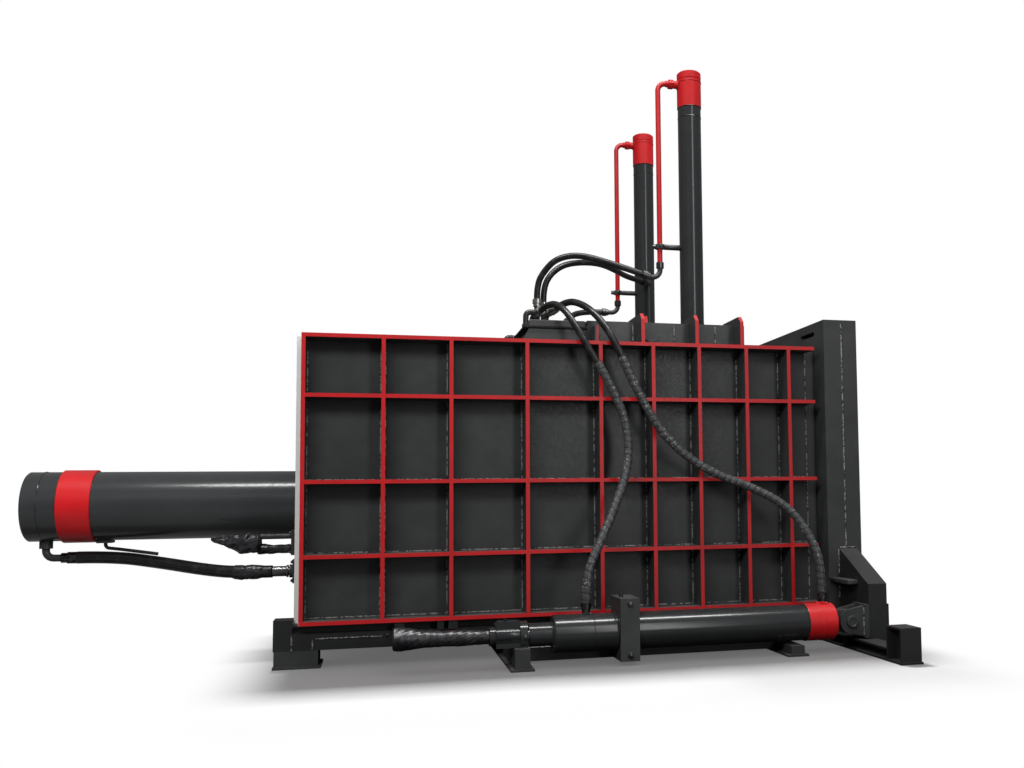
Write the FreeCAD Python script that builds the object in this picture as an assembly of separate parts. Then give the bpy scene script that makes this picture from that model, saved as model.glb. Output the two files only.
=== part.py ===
import FreeCAD
import Part
import math
import os

os.makedirs("parts", exist_ok=True)
Vec = FreeCAD.Vector

# A horizontal hydraulic recycling baler, in millimetres.
# X runs along the machine towards the bale gate, Y across it, Z up.
# The origin is on the ground, under the middle cross foot, on the machine's centre plane.
# "near" is the -Y side and "far" the +Y side, its mirror image.

# Clearances
seat = 0.3                  # between pieces that are bolted or welded face to face
running_gap = 1.0           # round a rod, a piston or a pin
slide_gap = 8.0             # between a press plate and the chamber lining
gate_gap = 6.0              # between the chamber mouth and the closed gate
rail_gap = 2.0              # between a guide shoe and its rail

# Chamber
chamber_inner_width = 1720.0
wall_plate = 30.0
rib_depth = 180.0
rib_plate = 26.0
wall_height = 1900.0
wall_foot = 280.0           # underside of the side walls above the ground
chamber_back = -1372.0      # outer end of the ribs at the main cylinder
chamber_length = 3622.0     # from there to the last rib ends
mouth_lip = 72.0            # wall plates past the rib ends
post_pitches = [14.0, 507.0, 444.0, 515.0, 518.0, 383.0, 343.0, 361.0, 331.0]
rail_heights = [13.0, 438.0, 923.0, 1491.0, 1887.0]
floor_plate_thickness = 30.0
floor_rise = 22.0           # underside of the floor plate above the underside of the walls
floor_bearer = 20.0
rear_plate_thickness = 40.0

# Roof parts
cover_thickness = 26.0
cover_lip = 60.0
rear_cover_length = 420.0
feed_opening_length = 1039.0
feed_roof_height = 105.0
feed_roof_length = 480.0
feed_box_setback = 23.0     # sloped boxes along the sides of the feed roof
feed_box_slope = 35.0
feed_box_inner_y = 560.0
tray_thickness = 12.0
tray_setback = 18.0
tray_inner_y = 370.0
crown_height = 172.0
crown_length = 1200.0
crown_boss = (475.0, 82.0)  # round boss on the crown's side, from its end and from the wall
gusset_plate = 26.0
gusset_height = 213.0
gusset_offsets = [370.0, 773.0, 1117.0]
gusset_reaches = [200.0, 95.0, 200.0]   # in over the crown, less beside the press cylinder
end_gusset = (18.0, 112.0)  # the low one's place and height
lug_plate = 24.0
lug_height = 90.0
lug_eye = 44.0
lug_offset = 488.0

# Feet, skids and guide rails
foot_height = 115.0
foot_box_width = 95.0
foot_flange_width = 150.0
foot_flange = 15.0
foot_half_span = 1563.0
front_foot_x = 1857.0
foot_to_barrel = 15.0       # under the side cylinders
middle_foot_end = 139.0     # its ends, which carry the rod anchors
skid_width = 160.0
skid_outer_y = 1000.0
skid_lower_height = 107.0
skid_stub = 118.0           # skid ends past the rear plate
skid_stub_rise = 33.0       # of those ends over the skid's flange
stool_depth = 58.0          # stools beside the skid, under the wall's bottom rail
stool_spans = ((-772.0, -710.0), (-497.0, -453.0), (-424.0, -364.0))
rear_foot_length = 273.0
rear_foot_depth = 300.0
guide_rail_width = 140.0
guide_rail_height = 95.0
guide_rail_outer_y = 1270.0

# Main cylinder
main_axis_height = 1060.0
main_barrel_od = 486.0
main_bore = 400.0
main_barrel_length = 1723.0
main_cap_length = 105.0
main_cap_chamfer = 10.0
main_band_od = 512.0
main_band_length = 212.0
main_band_offset = 119.0    # from the end of the barrel
main_rod_dia = 280.0
main_piston_length = 120.0
main_piston_rest = 10.0     # from the end of the barrel
main_gland_length = 60.0
port_boss_dia = 85.0
port_boss_height = 62.0
port_pad = (96.0, 110.0, 30.0)
port_pad_offset = 383.0
port_boss_offset = 5.0      # the main port, from the barrel's end

# Ram plate, driven by the main cylinder
platen_height = 1470.0
platen_thickness = 360.0
platen_skin = 40.0
platen_rest_gap = 40.0      # behind the plate when it is drawn back
rod_flange_dia = 420.0
rod_flange_length = 30.0

# Press cylinders on the crown and the press head under it
press_axis_x = 1425.0
press_axis_y = 690.0
press_barrel_od = 178.0
press_collar = 16.0         # foot collar, wider than the barrel
press_bore = 140.0
press_barrel_length = 1712.0
press_cap_od = 186.0
press_cap_length = 276.0
press_cap_ring = 8.0
press_rod_dia = 90.0
press_piston_length = 100.0
press_gland_length = 60.0
press_port_height = 2960.0  # ports that face each other
press_head_height = 296.0
press_head_skin = 40.0
press_head_roof_gap = 12.0  # under the crown when the head is raised
press_head_back = 670.0
press_head_front_gap = 46.0
press_pipe_dia = 40.0
press_pipe_offset = 250.0
press_pipe_foot = 2716.0    # height of its lower bend
pipe_nut_length = 44.0
pipe_nut_rises = (90.0, 62.0)  # near and far, over those ends
press_pipe_inset = 95.0     # below the top of the cap
pipe_clamp_height = 2971.0
pipe_clamp_drop = 75.0      # the far clamp sits lower
pipe_clamp_dia = 62.0
pipe_clamp_length = 34.0
pipe_clamp_arm = 30.0

# Gate frame on its own ground beam
gate_thickness = 142.0
gate_frame_thickness = 124.0
gate_top = 2388.0
gate_half_width = 1070.0
gate_slot = (254.0, 34.0)
gate_slot_y = 779.0
gate_slot_drop = 82.0
gate_rib = 28.0
gate_rib_pockets = (4, 4)
beam_height = 230.0
beam_width = 145.0
beam_flange = 14.0
beam_web = 16.0
beam_half_span = 2090.0
beam_foot = 6.0             # its sole past the flanges
beam_saddle = 84.0          # its height under the arms and clevises
beam_end_block = 190.0
arm_inner_x = 84.0          # arm face behind the gate's inner face
arm_width = 140.0
arm_reach = 440.0
arm_top = 690.0
arm_shoulder = 460.0
arm_bottom = 62.0
ledge_reach = 90.0
ledge_plate = 20.0
ledge_height = 455.0
arm_rear_plate = 46.0
arm_rear_top = 312.0

# Side cylinders between the middle foot and the gate arms
side_axis_y = 1420.0
side_axis_height = 207.0
side_barrel_od = 242.0
side_bore = 190.0
side_barrel_back = 209.0
side_barrel_length = 1751.0
side_cap_od = 252.0
side_cap_length = 212.0
side_neck_od = 150.0
side_neck_length = 155.0
side_gland_length = 70.0
side_rod_dia = 70.0
side_piston_length = 120.0
side_piston_x = 1500.0
side_end_rounding = 8.0
side_boss_dia = 58.0
side_boss_height = 12.0
head_boss_offset = 225.0
cap_boss_offset = 144.0
pin_x = 2289.0
pin_dia = 60.0
pin_head_dia = 84.0
pin_head = 14.0
ear_radius = 85.0
ear_plate = 32.0
ear_gap = 2.0
tang_half = 44.0
tang_radius = 76.0
clevis_base = 30.0
clevis_base_height = 226.0
shoe_x = 633.0
shoe_width = 127.0
shoe_half_depth = 138.0
shoe_bottom = 27.0
shoe_top = 428.0
shoe_tongue_height = 40.0

# Rod anchors on the middle foot and the wrapped rod tails
anchor_length = 153.0
anchor_front_x = -4.0
anchor_tube_dia = 156.0
anchor_cradle = (140.0, 30.0)
anchor_plate = (128.0, 246.0, 301.0)    # the clamp plate's width, its bottom and its top
anchor_slant = 22.0
split_ring_dia = 184.0
split_ring_length = 48.0
ring_slit = 6.0
collar_dia = 116.0
collar_length = 38.0
tail_lug_x = -776.0
tail_lug_length = 103.0
tail_lug_height = 96.0
tail_lug_width = 84.0
tail_lug_rise = 12.0
tail_lug_chamfer = 20.0
film_tail_dia = 104.0
film_front_dia = 88.0

# Hoses
hose_dia = 60.0
main_hose_dia = 74.0
ferrule_wall = 4.0
ferrule_length = 56.0
fitting_length = 100.0      # the longer sleeves on top of the manifold
elbow_pipe_dia = 44.0
elbow_reach = 45.0
crossover_dia = 40.0
manifold_x = 352.0
manifold_y = 632.0
manifold_size = (405.0, 500.0, 52.0)
main_pipe_dia = 50.0
main_port_drop = 360.0      # the main hose's first end under the cylinder's axis
main_hose_y = -396.0
main_hose_end_drop = 470.0
main_flange = (44.0, 124.0, 166.0)
main_hub = (24.0, 92.0)
main_sleeve = (112.0, 56.0)
drain_pipe_dia = 24.0
return_block = (60.0, 150.0, 176.0)
return_block_place = (-330.0, 272.0)    # across, and under the cylinder's axis
return_pipe_dia = 38.0
return_pipe_spread = (14.0, 44.0)
return_pipe_length = 210.0
return_wrap_stations = ((0.0, 64.0, 0.0), (150.0, 60.0, 6.0), (250.0, 30.0, 22.0), (322.0, 7.0, 34.0))

# Worked out from the sizes above
inner_half = chamber_inner_width / 2
plate_outer = inner_half + wall_plate
wall_outer = plate_outer + rib_depth
wall_top = wall_foot + wall_height
chamber_front = chamber_back + chamber_length
mouth = chamber_front + mouth_lip
floor_under = wall_foot + floor_rise
floor_top = floor_under + floor_plate_thickness
rear_outer = chamber_back - rear_plate_thickness
feed_start = chamber_back + rear_cover_length
feed_end = feed_start + feed_opening_length
crown_back = feed_end + feed_roof_length
crown_front = crown_back + crown_length
crown_top = wall_top + seat + crown_height
gate_back = mouth + gate_gap
gate_front = gate_back + gate_thickness
frame_front = gate_front + seat + gate_frame_thickness
beam_back = gate_back + 2.0
arm_back = gate_back + arm_inner_x
arm_front = arm_back + arm_width
arm_plate_y = -gate_half_width - arm_reach / 2
arm_outer = gate_half_width + seat + arm_reach
side_barrel_front = side_barrel_back + side_barrel_length
side_cap_front = side_barrel_front + seat + side_cap_length
platen_back = chamber_back + platen_rest_gap
platen_front = platen_back + platen_thickness
press_head_top = wall_top - press_head_roof_gap
press_barrel_top = crown_top + seat + press_barrel_length
press_cap_top = press_barrel_top + seat + press_cap_length


def block(x, y, z):
    """A box between the given low and high ends on each axis."""
    size = (x[1] - x[0], y[1] - y[0], z[1] - z[0])
    return Part.makeBox(size[0], size[1], size[2], Vec(x[0], y[0], z[0]))


def along(axis, start, length, dia):
    """A round bar from start along the axis."""
    return Part.makeCylinder(dia / 2, length, start, axis)


def ring(axis, start, length, outer, inner):
    """A round tube from start along the axis."""
    return along(axis, start, length, outer).cut(along(axis, start, length, inner))


X = Vec(1, 0, 0)
Y = Vec(0, 1, 0)
Z = Vec(0, 0, 1)


def mirrored(shape):
    """The same shape on the other side of the machine's centre plane."""
    return shape.mirror(Vec(0, 0, 0), Y)


def both_sides(shape):
    return Part.makeCompound([shape, mirrored(shape)])


def prism(points, push):
    """A closed outline pushed along a vector."""
    corners = [Vec(*p) for p in points]
    face = Part.Face(Part.makePolygon(corners + [corners[0]]))
    return face.extrude(push)


def join(shapes):
    """One solid of shapes that meet, without the seams between their faces."""
    whole = shapes[0].multiFuse(shapes[1:])
    return whole.removeSplitter()


def chamfered(shape, size, pick):
    edges = [edge for edge in shape.Edges if pick(edge)]
    return shape.makeChamfer(size, edges)


def circle_edge(radius):
    def pick(edge):
        return hasattr(edge.Curve, "Radius") and abs(edge.Curve.Radius - radius) < 0.01
    return pick


def route_path(points, bend=None):
    """Straight runs joined by tangent arcs, and the least arc radius."""
    corners = [Vec(*p) for p in points]
    edges = []
    radii = []
    start = corners[0]
    for before, corner, after in zip(corners, corners[1:], corners[2:]):
        back = (before - corner).normalize()
        ahead = (after - corner).normalize()
        half_turn = (math.pi - back.getAngle(ahead)) / 2
        shorter = min((before - corner).Length, (after - corner).Length)
        setback = 0.45 * shorter if bend is None else bend * math.tan(half_turn)
        radius = setback / math.tan(half_turn)
        centre = corner + (back + ahead).normalize() * (radius / math.cos(half_turn))
        middle = centre + (corner - centre).normalize() * radius
        first = corner + back * setback
        last = corner + ahead * setback
        edges.append(Part.LineSegment(start, first).toShape())
        edges.append(Part.Arc(first, middle, last).toShape())
        radii.append(radius)
        start = last
    edges.append(Part.LineSegment(start, corners[-1]).toShape())
    return Part.Wire(edges), radii


def swept(points, dia, bend=None):
    """A round bar along a route, with its least radius in diameters and its volume ratio."""
    path, radii = route_path(points, bend)
    start = Vec(*points[0])
    heading = Vec(*points[1]) - start
    section = Part.Wire([Part.makeCircle(dia / 2, start, heading)])
    tube = path.makePipeShell([section], True, False, 1)
    ratio = tube.Volume / (math.pi * dia * dia / 4 * path.Length)
    return tube, path.Length, min(radii) / dia, ratio


def hose(name, points, dia):
    tube, length, tightest, ratio = swept(points, dia)
    text = "{}: length {:.0f} mm, tightest bend {:.1f} diameters, volume ratio {:.4f}"
    print(text.format(name, length, tightest, ratio))
    return tube


def ferrule(end, inner, length, dia=hose_dia):
    """The crimped metal end of a hose, from its last point away from the inner one."""
    end_point = Vec(*end)
    away = (end_point - Vec(*inner)).normalize()
    start = end_point + away * seat
    sleeve_length = length * 0.6
    sleeve = along(away, start, sleeve_length, dia + 2 * ferrule_wall)
    nut = along(away, start + away * sleeve_length, length - sleeve_length, dia - ferrule_wall)
    return join([sleeve, nut])


def save(name, shape):
    shape.exportStep("parts/" + name + ".step")
    print(name, len(shape.Solids), round(shape.Volume / 1e6, 2), "litres")


# Side walls: a plate with posts and rails welded to its outer face in an egg-crate


def side_wall():
    plate = block((chamber_back, mouth), (-plate_outer, -inner_half), (wall_foot, wall_top))
    pieces = [plate]
    rib_y = (-wall_outer, -plate_outer)
    post_x = chamber_back
    for pitch in post_pitches:
        post_x += pitch
        post = (post_x - rib_plate / 2, post_x + rib_plate / 2)
        pieces.append(block(post, rib_y, (wall_foot, wall_top)))
    for height in rail_heights:
        rail_z = wall_foot + height
        rail = (rail_z - rib_plate / 2, rail_z + rib_plate / 2)
        pieces.append(block((chamber_back, chamber_front), rib_y, rail))
    return join(pieces)


wall_near = side_wall()
save("wall_near", wall_near)
save("wall_far", mirrored(wall_near))


# Floor, rear plate and the covers over the ram plate and the bale chamber


def floor_plate():
    half = inner_half - seat
    length = (chamber_back + seat, mouth)
    deck = block(length, (-half, half), (floor_under, floor_top))
    bearer_z = (wall_foot, floor_under)
    bearers = []
    for side_y in (-half, -half / 3, half / 3 - floor_bearer, half - floor_bearer):
        bearers.append(block(length, (side_y, side_y + floor_bearer), bearer_z))
    return join([deck] + bearers)


def rear_plate():
    plate = block((rear_outer, chamber_back - seat), (-plate_outer, plate_outer), (wall_foot, wall_top))
    hole_start = Vec(rear_outer, 0, main_axis_height)
    rod_hole = along(X, hole_start, rear_plate_thickness, main_rod_dia + 2 * running_gap)
    return plate.cut(rod_hole)


def cover(start, end):
    height = (wall_top + seat, wall_top + seat + cover_thickness)
    return block((start, end), (-plate_outer, plate_outer), height)


def rear_cover():
    """The cover over the drawn-back ram plate, with a lip at the feed opening."""
    plate = cover(chamber_back, feed_start)
    lip_x = (feed_start - cover_thickness, feed_start)
    lip_half = inner_half - slide_gap
    lip = block(lip_x, (-lip_half, lip_half), (wall_top - cover_lip, wall_top + seat))
    return join([plate, lip])


save("floor_plate", floor_plate())
save("rear_plate", rear_plate())
save("rear_cover", rear_cover())


# Feed roof, hose tray, crown beam and gussets over the press zone


def feed_roof():
    """A cover plate with a sloped box along each side of it."""
    plate = cover(feed_end, crown_back - seat)
    low = wall_top + seat + cover_thickness
    high = wall_top + seat + feed_roof_height
    box_back = feed_end + feed_box_setback
    outline = [
        (box_back, -plate_outer, low),
        (box_back + feed_box_slope, -plate_outer, high),
        (crown_back - seat, -plate_outer, high),
        (crown_back - seat, -plate_outer, low),
    ]
    side_box = prism(outline, Vec(0, plate_outer - feed_box_inner_y, 0))
    return join([plate, side_box, mirrored(side_box)])


def hose_tray():
    bottom = wall_top + seat + feed_roof_height + seat
    length = (feed_end + tray_setback, crown_back - seat)
    return block(length, (-plate_outer, -tray_inner_y), (bottom, bottom + tray_thickness))


def crown_beam():
    top_plate = 40.0
    body = block((crown_back, crown_front), (-plate_outer, plate_outer), (wall_top + seat, crown_top))
    cell_z = (wall_top + seat, crown_top - top_plate)
    half = inner_half - 2 * press_bore
    cells = []
    cell_length = (crown_length - 4 * top_plate) / 3
    for count in range(3):
        start = crown_back + top_plate + count * (cell_length + top_plate)
        cells.append(block((start, start + cell_length), (-half, half), cell_z))
    boss_start = Vec(crown_back + crown_boss[0], plate_outer, wall_top + crown_boss[1])
    boss = along(Y, boss_start, 15.0, 110.0)
    body = join([body, boss, mirrored(boss)])
    for cell in cells:
        body = body.cut(cell)
    for side in (-1, 1):
        foot = Vec(press_axis_x, side * press_axis_y, wall_top)
        body = body.cut(along(Z, foot, crown_top, press_rod_dia + 2 * running_gap))
    return body


def crown_gusset(back, reach):
    """A plate that rises from the wall's top edge, with a cut tip, and runs in over the crown."""
    tip_radius = 45.0
    low = wall_top + seat
    high = low + gusset_height
    outer = -wall_outer + 5.0
    over = crown_top + seat
    inner = -plate_outer + reach
    outline = [
        (back, outer, low),
        (back, outer, high - tip_radius),
        (back, outer + tip_radius, high),
        (back, inner, high),
        (back, inner, over),
        (back, -plate_outer - seat, over),
        (back, -plate_outer - seat, low),
    ]
    return prism(outline, Vec(gusset_plate, 0, 0))


def crown_end_gusset():
    """The low plate at the crown's feed end, outside the wall plate."""
    back = crown_back + end_gusset[0]
    low = wall_top + seat
    top = low + end_gusset[1]
    return block((back, back + gusset_plate), (-wall_outer + 5.0, -plate_outer - seat), (low, top))


def lifting_lug():
    base = crown_top + seat
    x = (crown_back + lug_offset, crown_back + lug_offset + lug_plate)
    inner = -plate_outer + 210.0
    outline = [
        (x[0], inner, base),
        (x[0], inner + 20.0, base + lug_height),
        (x[0], inner + 70.0, base + lug_height),
        (x[0], inner + 90.0, base),
    ]
    plate = prism(outline, Vec(lug_plate, 0, 0))
    eye = along(X, Vec(x[0], inner + 45.0, base + lug_height * 0.55), lug_plate, lug_eye)
    return plate.cut(eye)


near_gussets = [crown_end_gusset()]
for offset, reach in zip(gusset_offsets, gusset_reaches):
    near_gussets.append(crown_gusset(crown_back + offset - gusset_plate / 2, reach))
save("feed_roof", feed_roof())
save("hose_tray", both_sides(hose_tray()))
save("crown_beam", crown_beam())
save("crown_gussets", both_sides(Part.makeCompound(near_gussets + [lifting_lug()])))
save("front_cover", cover(crown_front + seat, mouth))


# Feet, skids and guide rails


def cross_foot(centre_x, end_height):
    """A box beam on a flange, with ends of another height under the side cylinders."""
    beam_x = (centre_x - foot_box_width / 2, centre_x + foot_box_width / 2)
    flange_x = (centre_x - foot_flange_width / 2, centre_x + foot_flange_width / 2)
    middle_half = guide_rail_outer_y + slide_gap
    middle = block(beam_x, (-middle_half, middle_half), (foot_flange, foot_height))
    near_end = block(beam_x, (-foot_half_span, -middle_half), (foot_flange, end_height))
    flange = block(flange_x, (-foot_half_span - 8.0, foot_half_span + 8.0), (0.0, foot_flange))
    return join([middle, near_end, mirrored(near_end), flange])


def skid():
    """A box beam with a channel on top of it, closed by a taller stub behind the rear plate."""
    y = (-skid_outer_y, -skid_outer_y + skid_width)
    low = foot_height + seat
    middle = low + skid_lower_height
    high = wall_foot - seat
    x = (rear_outer - skid_stub, mouth)
    lower = block(x, y, (low, middle))
    web_y = y[0] + 40.0
    web = block(x, (web_y, y[1]), (middle, high))
    flange = block(x, y, (high - 14.0, high))
    stub = block((x[0], rear_outer - seat), y, (middle, high + skid_stub_rise))
    stools = [block(span, (y[0] - stool_depth, web_y), (middle, high)) for span in stool_spans]
    return join([lower, web, flange, stub] + stools)


def tail_bracket():
    """The plate that carries the tail lug from the side of the skid."""
    x = (tail_lug_x + 18.0, tail_lug_x + tail_lug_length - 18.0)
    y = (-side_axis_y + tail_lug_width / 2 + seat, -skid_outer_y - seat)
    z = (side_axis_height - 15.0, side_axis_height + 15.0)
    return block(x, y, z)


def rear_foot():
    x = (rear_outer - skid_stub + 5.0, rear_outer - skid_stub + 5.0 + rear_foot_length)
    y = (-skid_outer_y, -skid_outer_y + rear_foot_depth)
    box = block(x, y, (foot_flange, foot_height))
    flange = block((x[0] - 8.0, x[1] + 18.0), (y[0] - 8.0, y[1] + 8.0), (0.0, foot_flange))
    return join([box, flange])


def guide_rail():
    """The bar between the two cross feet that the cylinder's guide shoe slides along."""
    x = (foot_box_width / 2 + seat, front_foot_x - foot_box_width / 2 - seat)
    y = (-guide_rail_outer_y, -guide_rail_outer_y + guide_rail_width)
    rail = block(x, y, (foot_flange + seat, foot_flange + seat + guide_rail_height))
    return chamfered(rail, 6.0, lambda edge: abs(edge.BoundBox.ZMax - rail.BoundBox.ZMax) < 0.01
                     and edge.BoundBox.ZLength < 0.01 and edge.BoundBox.YLength < 0.01)


save("skids", both_sides(Part.makeCompound([skid(), tail_bracket()])))
save("rear_feet", both_sides(rear_foot()))
save("middle_foot", cross_foot(0.0, middle_foot_end))
save("front_foot", cross_foot(front_foot_x, side_axis_height - side_barrel_od / 2 - foot_to_barrel))
save("guide_rails", both_sides(guide_rail()))


# Main cylinder behind the rear plate


main_barrel_front = rear_outer - seat
main_barrel_back = main_barrel_front - main_barrel_length
main_cap_back = main_barrel_back - seat - main_cap_length


def main_barrel():
    start = Vec(main_barrel_back, 0, main_axis_height)
    tube = ring(X, start, main_barrel_length, main_barrel_od, main_bore)
    gland_start = Vec(main_barrel_front - main_gland_length, 0, main_axis_height)
    gland = ring(X, gland_start, main_gland_length, main_bore, main_rod_dia + 2 * running_gap)
    pad_x = main_barrel_back + port_pad_offset
    pad_top = main_axis_height - main_barrel_od / 2 * 0.8
    pad_z = (main_axis_height - main_barrel_od / 2 - port_pad[2] * 0.6, pad_top)
    pad_half = port_pad[0] / 2
    pad = block((pad_x - pad_half, pad_x + pad_half), (-port_pad[1] / 2, port_pad[1] / 2), pad_z)
    hollow = along(X, start, main_barrel_length, main_bore)
    return join([tube, gland, pad.cut(hollow)])


def main_cap():
    start = Vec(main_cap_back, 0, main_axis_height)
    body = along(X, start, main_cap_length, main_barrel_od)
    body = chamfered(body, main_cap_chamfer, lambda edge: abs(edge.BoundBox.XMax - main_cap_back) < 0.01)
    plug = Part.makeCylinder(21.0, 16.0, Vec(main_cap_back - 16.0, 0, main_axis_height), X)
    return join([body, plug])


def main_band():
    start = Vec(main_barrel_back + main_band_offset, 0, main_axis_height)
    band = ring(X, start, main_band_length, main_band_od, main_barrel_od + 2 * seat)
    outer = circle_edge(main_band_od / 2)
    return chamfered(band, 4.0, outer)


save("main_barrel", main_barrel())
save("main_cap", main_cap())
save("main_band", main_band())


# Ram plate and its rod


def platen():
    """A box of plates: a thick face, a rim and cross ribs behind it, open at the back."""
    half = inner_half - slide_gap
    z = (floor_top + slide_gap, floor_top + slide_gap + platen_height)
    body = block((platen_back, platen_front), (-half, half), z)
    depth = (platen_back, platen_front - platen_skin)
    columns, rows = 4, 3
    cell_y = (2 * half - (columns + 1) * platen_skin) / columns
    cell_z = (platen_height - (rows + 1) * platen_skin) / rows
    rod_pad = along(X, Vec(platen_back, 0, main_axis_height), platen_thickness, rod_flange_dia)
    for column in range(columns):
        y0 = -half + platen_skin + column * (cell_y + platen_skin)
        for row in range(rows):
            z0 = z[0] + platen_skin + row * (cell_z + platen_skin)
            cell = block(depth, (y0, y0 + cell_y), (z0, z0 + cell_z))
            body = body.cut(cell.cut(rod_pad))
    return body


def main_rod():
    flange_back = platen_back - seat - rod_flange_length
    piston_back = main_barrel_back + main_piston_rest
    start = Vec(piston_back, 0, main_axis_height)
    piston = along(X, start, main_piston_length, main_bore - 2 * running_gap)
    rod = along(X, start, flange_back - piston_back, main_rod_dia)
    flange_dia = rod_flange_dia - 2 * main_cap_chamfer
    flange = along(X, Vec(flange_back, 0, main_axis_height), rod_flange_length, flange_dia)
    return join([piston, rod, flange])


save("platen", platen())
save("main_rod", main_rod())


# Press cylinders, their pipes and the press head


def press_barrel(side):
    start = Vec(press_axis_x, side * press_axis_y, crown_top + seat)
    tube = ring(Z, start, press_barrel_length, press_barrel_od, press_bore)
    gland = ring(Z, start, press_gland_length, press_bore, press_rod_dia + 2 * running_gap)
    collar = ring(Z, start, 26.0, press_barrel_od + press_collar, press_bore)
    port_start = Vec(press_axis_x, side * press_axis_y, press_port_height)
    port = along(Y * -side, port_start, press_barrel_od / 2 + side_boss_height, side_boss_dia)
    port = port.cut(along(Z, start, press_barrel_length, press_bore))
    return join([tube, gland, collar, port])


def press_cap(side):
    start = Vec(press_axis_x, side * press_axis_y, press_barrel_top + seat)
    body = along(Z, start, press_cap_length, press_cap_od)
    groove_start = start + Z * (press_cap_length - 62.0)
    groove = ring(Z, groove_start, press_cap_ring, press_cap_od, press_cap_od - 6.0)
    body = body.cut(groove)
    return chamfered(body, 9.0, lambda edge: abs(edge.BoundBox.ZMin - press_cap_top) < 0.01)


near_pipe_turn = Vec(-0.96, 0, 0.28)
far_pipe_turn = Vec(-1, 0, 0)
pipe_x = press_axis_x - press_pipe_offset
pipe_top = press_cap_top - press_pipe_inset


def press_pipe(side, turn, nut_rise):
    """The pipe from the cap down to the hose, with its last bend along turn."""
    y = side * press_axis_y
    foot = Vec(pipe_x, y, press_pipe_foot)
    last = foot + turn * 2.2 * press_pipe_dia
    points = [
        (press_axis_x - press_cap_od / 2 - seat, y, pipe_top),
        (pipe_x, y, pipe_top),
        (pipe_x, y, press_pipe_foot),
        (last.x, last.y, last.z),
    ]
    pipe = swept(points, press_pipe_dia, 1.5 * press_pipe_dia)[0]
    nut_start = Vec(pipe_x, y, press_pipe_foot + nut_rise)
    nut = along(Z, nut_start, pipe_nut_length, press_pipe_dia + 18.0)
    return join([pipe, nut])


def pipe_clamp(side, height):
    """A split collar round the pipe with an arm welded to the cylinder."""
    y = side * press_axis_y
    collar_z = height - pipe_clamp_length / 2
    bore = press_pipe_dia + 2 * seat
    collar = ring(Z, Vec(pipe_x, y, collar_z), pipe_clamp_length, pipe_clamp_dia + 8.0, bore)
    arm_start = Vec(pipe_x + press_pipe_dia / 2 + 4.0, y, height)
    arm_length = press_pipe_offset - press_pipe_dia / 2 - 4.0 - press_barrel_od / 2 - seat
    arm = along(X, arm_start, arm_length, pipe_clamp_arm)
    return join([collar, arm])


def press_head():
    """A box of plates with a thick face below, open cells above and a pad under each rod."""
    half = inner_half - slide_gap
    x = (press_head_back, mouth - press_head_front_gap)
    z = (press_head_top - press_head_height, press_head_top)
    body = block(x, (-half, half), z)
    depth = (z[0] + press_head_skin, z[1])
    rows, columns = 4, 4
    cell_x = (x[1] - x[0] - (rows + 1) * press_head_skin) / rows
    cell_y = (2 * half - (columns + 1) * press_head_skin) / columns
    pads = []
    for side in (-1, 1):
        foot = Vec(press_axis_x, side * press_axis_y, z[0])
        pads.append(along(Z, foot, press_head_height, press_rod_dia + 60.0))
    for row in range(rows):
        x0 = x[0] + press_head_skin + row * (cell_x + press_head_skin)
        for column in range(columns):
            y0 = -half + press_head_skin + column * (cell_y + press_head_skin)
            cell = block((x0, x0 + cell_x), (y0, y0 + cell_y), depth)
            body = body.cut(cell.cut(Part.makeCompound(pads)))
    return body


def press_rod(side):
    foot = Vec(press_axis_x, side * press_axis_y, press_head_top + seat)
    piston_top = press_barrel_top - 10.0
    rod = along(Z, foot, piston_top - foot.z, press_rod_dia)
    piston_start = Vec(foot.x, foot.y, piston_top - press_piston_length)
    piston = along(Z, piston_start, press_piston_length, press_bore - 2 * running_gap)
    return join([rod, piston])


save("press_barrel_near", press_barrel(-1))
save("press_barrel_far", press_barrel(1))
save("press_cap_near", press_cap(-1))
save("press_cap_far", press_cap(1))
save("press_pipe_near", press_pipe(-1, near_pipe_turn, pipe_nut_rises[0]))
save("press_pipe_far", press_pipe(1, far_pipe_turn, pipe_nut_rises[1]))
clamps = [pipe_clamp(-1, pipe_clamp_height), pipe_clamp(1, pipe_clamp_height - pipe_clamp_drop)]
save("pipe_clamps", Part.makeCompound(clamps))
save("press_head", press_head())
save("press_rods", Part.makeCompound([press_rod(-1), press_rod(1)]))


# Gate, its frame, arms and ground beam


def gate_slab():
    slab = block((gate_back, gate_front), (-gate_half_width, gate_half_width), (beam_height + seat, gate_top))
    slot_length, slot_width = gate_slot
    slot_z = gate_top - gate_slot_drop
    slot_height = (slot_z - slot_width / 2, slot_z + slot_width / 2)
    for side in (-1, 1):
        end_places = [side * gate_slot_y + way * (slot_length - slot_width) / 2 for way in (-1, 1)]
        slot = [block((gate_back, gate_front), tuple(end_places), slot_height)]
        for end_y in end_places:
            slot.append(along(X, Vec(gate_back, end_y, slot_z), gate_thickness, slot_width))
        slab = slab.cut(join(slot))
    return slab


def gate_frame():
    """The frame behind the slab: a plate against it and a grid of ribs open to the outside."""
    x = (gate_front + seat, frame_front)
    z = (beam_height + seat, gate_top)
    body = block(x, (-gate_half_width, gate_half_width), z)
    depth = (x[0] + gate_rib, x[1])
    columns, rows = gate_rib_pockets
    cell_y = (2 * gate_half_width - (columns + 1) * gate_rib) / columns
    cell_z = (z[1] - z[0] - (rows + 1) * gate_rib) / rows
    for column in range(columns):
        y0 = -gate_half_width + gate_rib + column * (cell_y + gate_rib)
        for row in range(rows):
            z0 = z[0] + gate_rib + row * (cell_z + gate_rib)
            body = body.cut(block(depth, (y0, y0 + cell_y), (z0, z0 + cell_z)))
    return body


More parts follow.
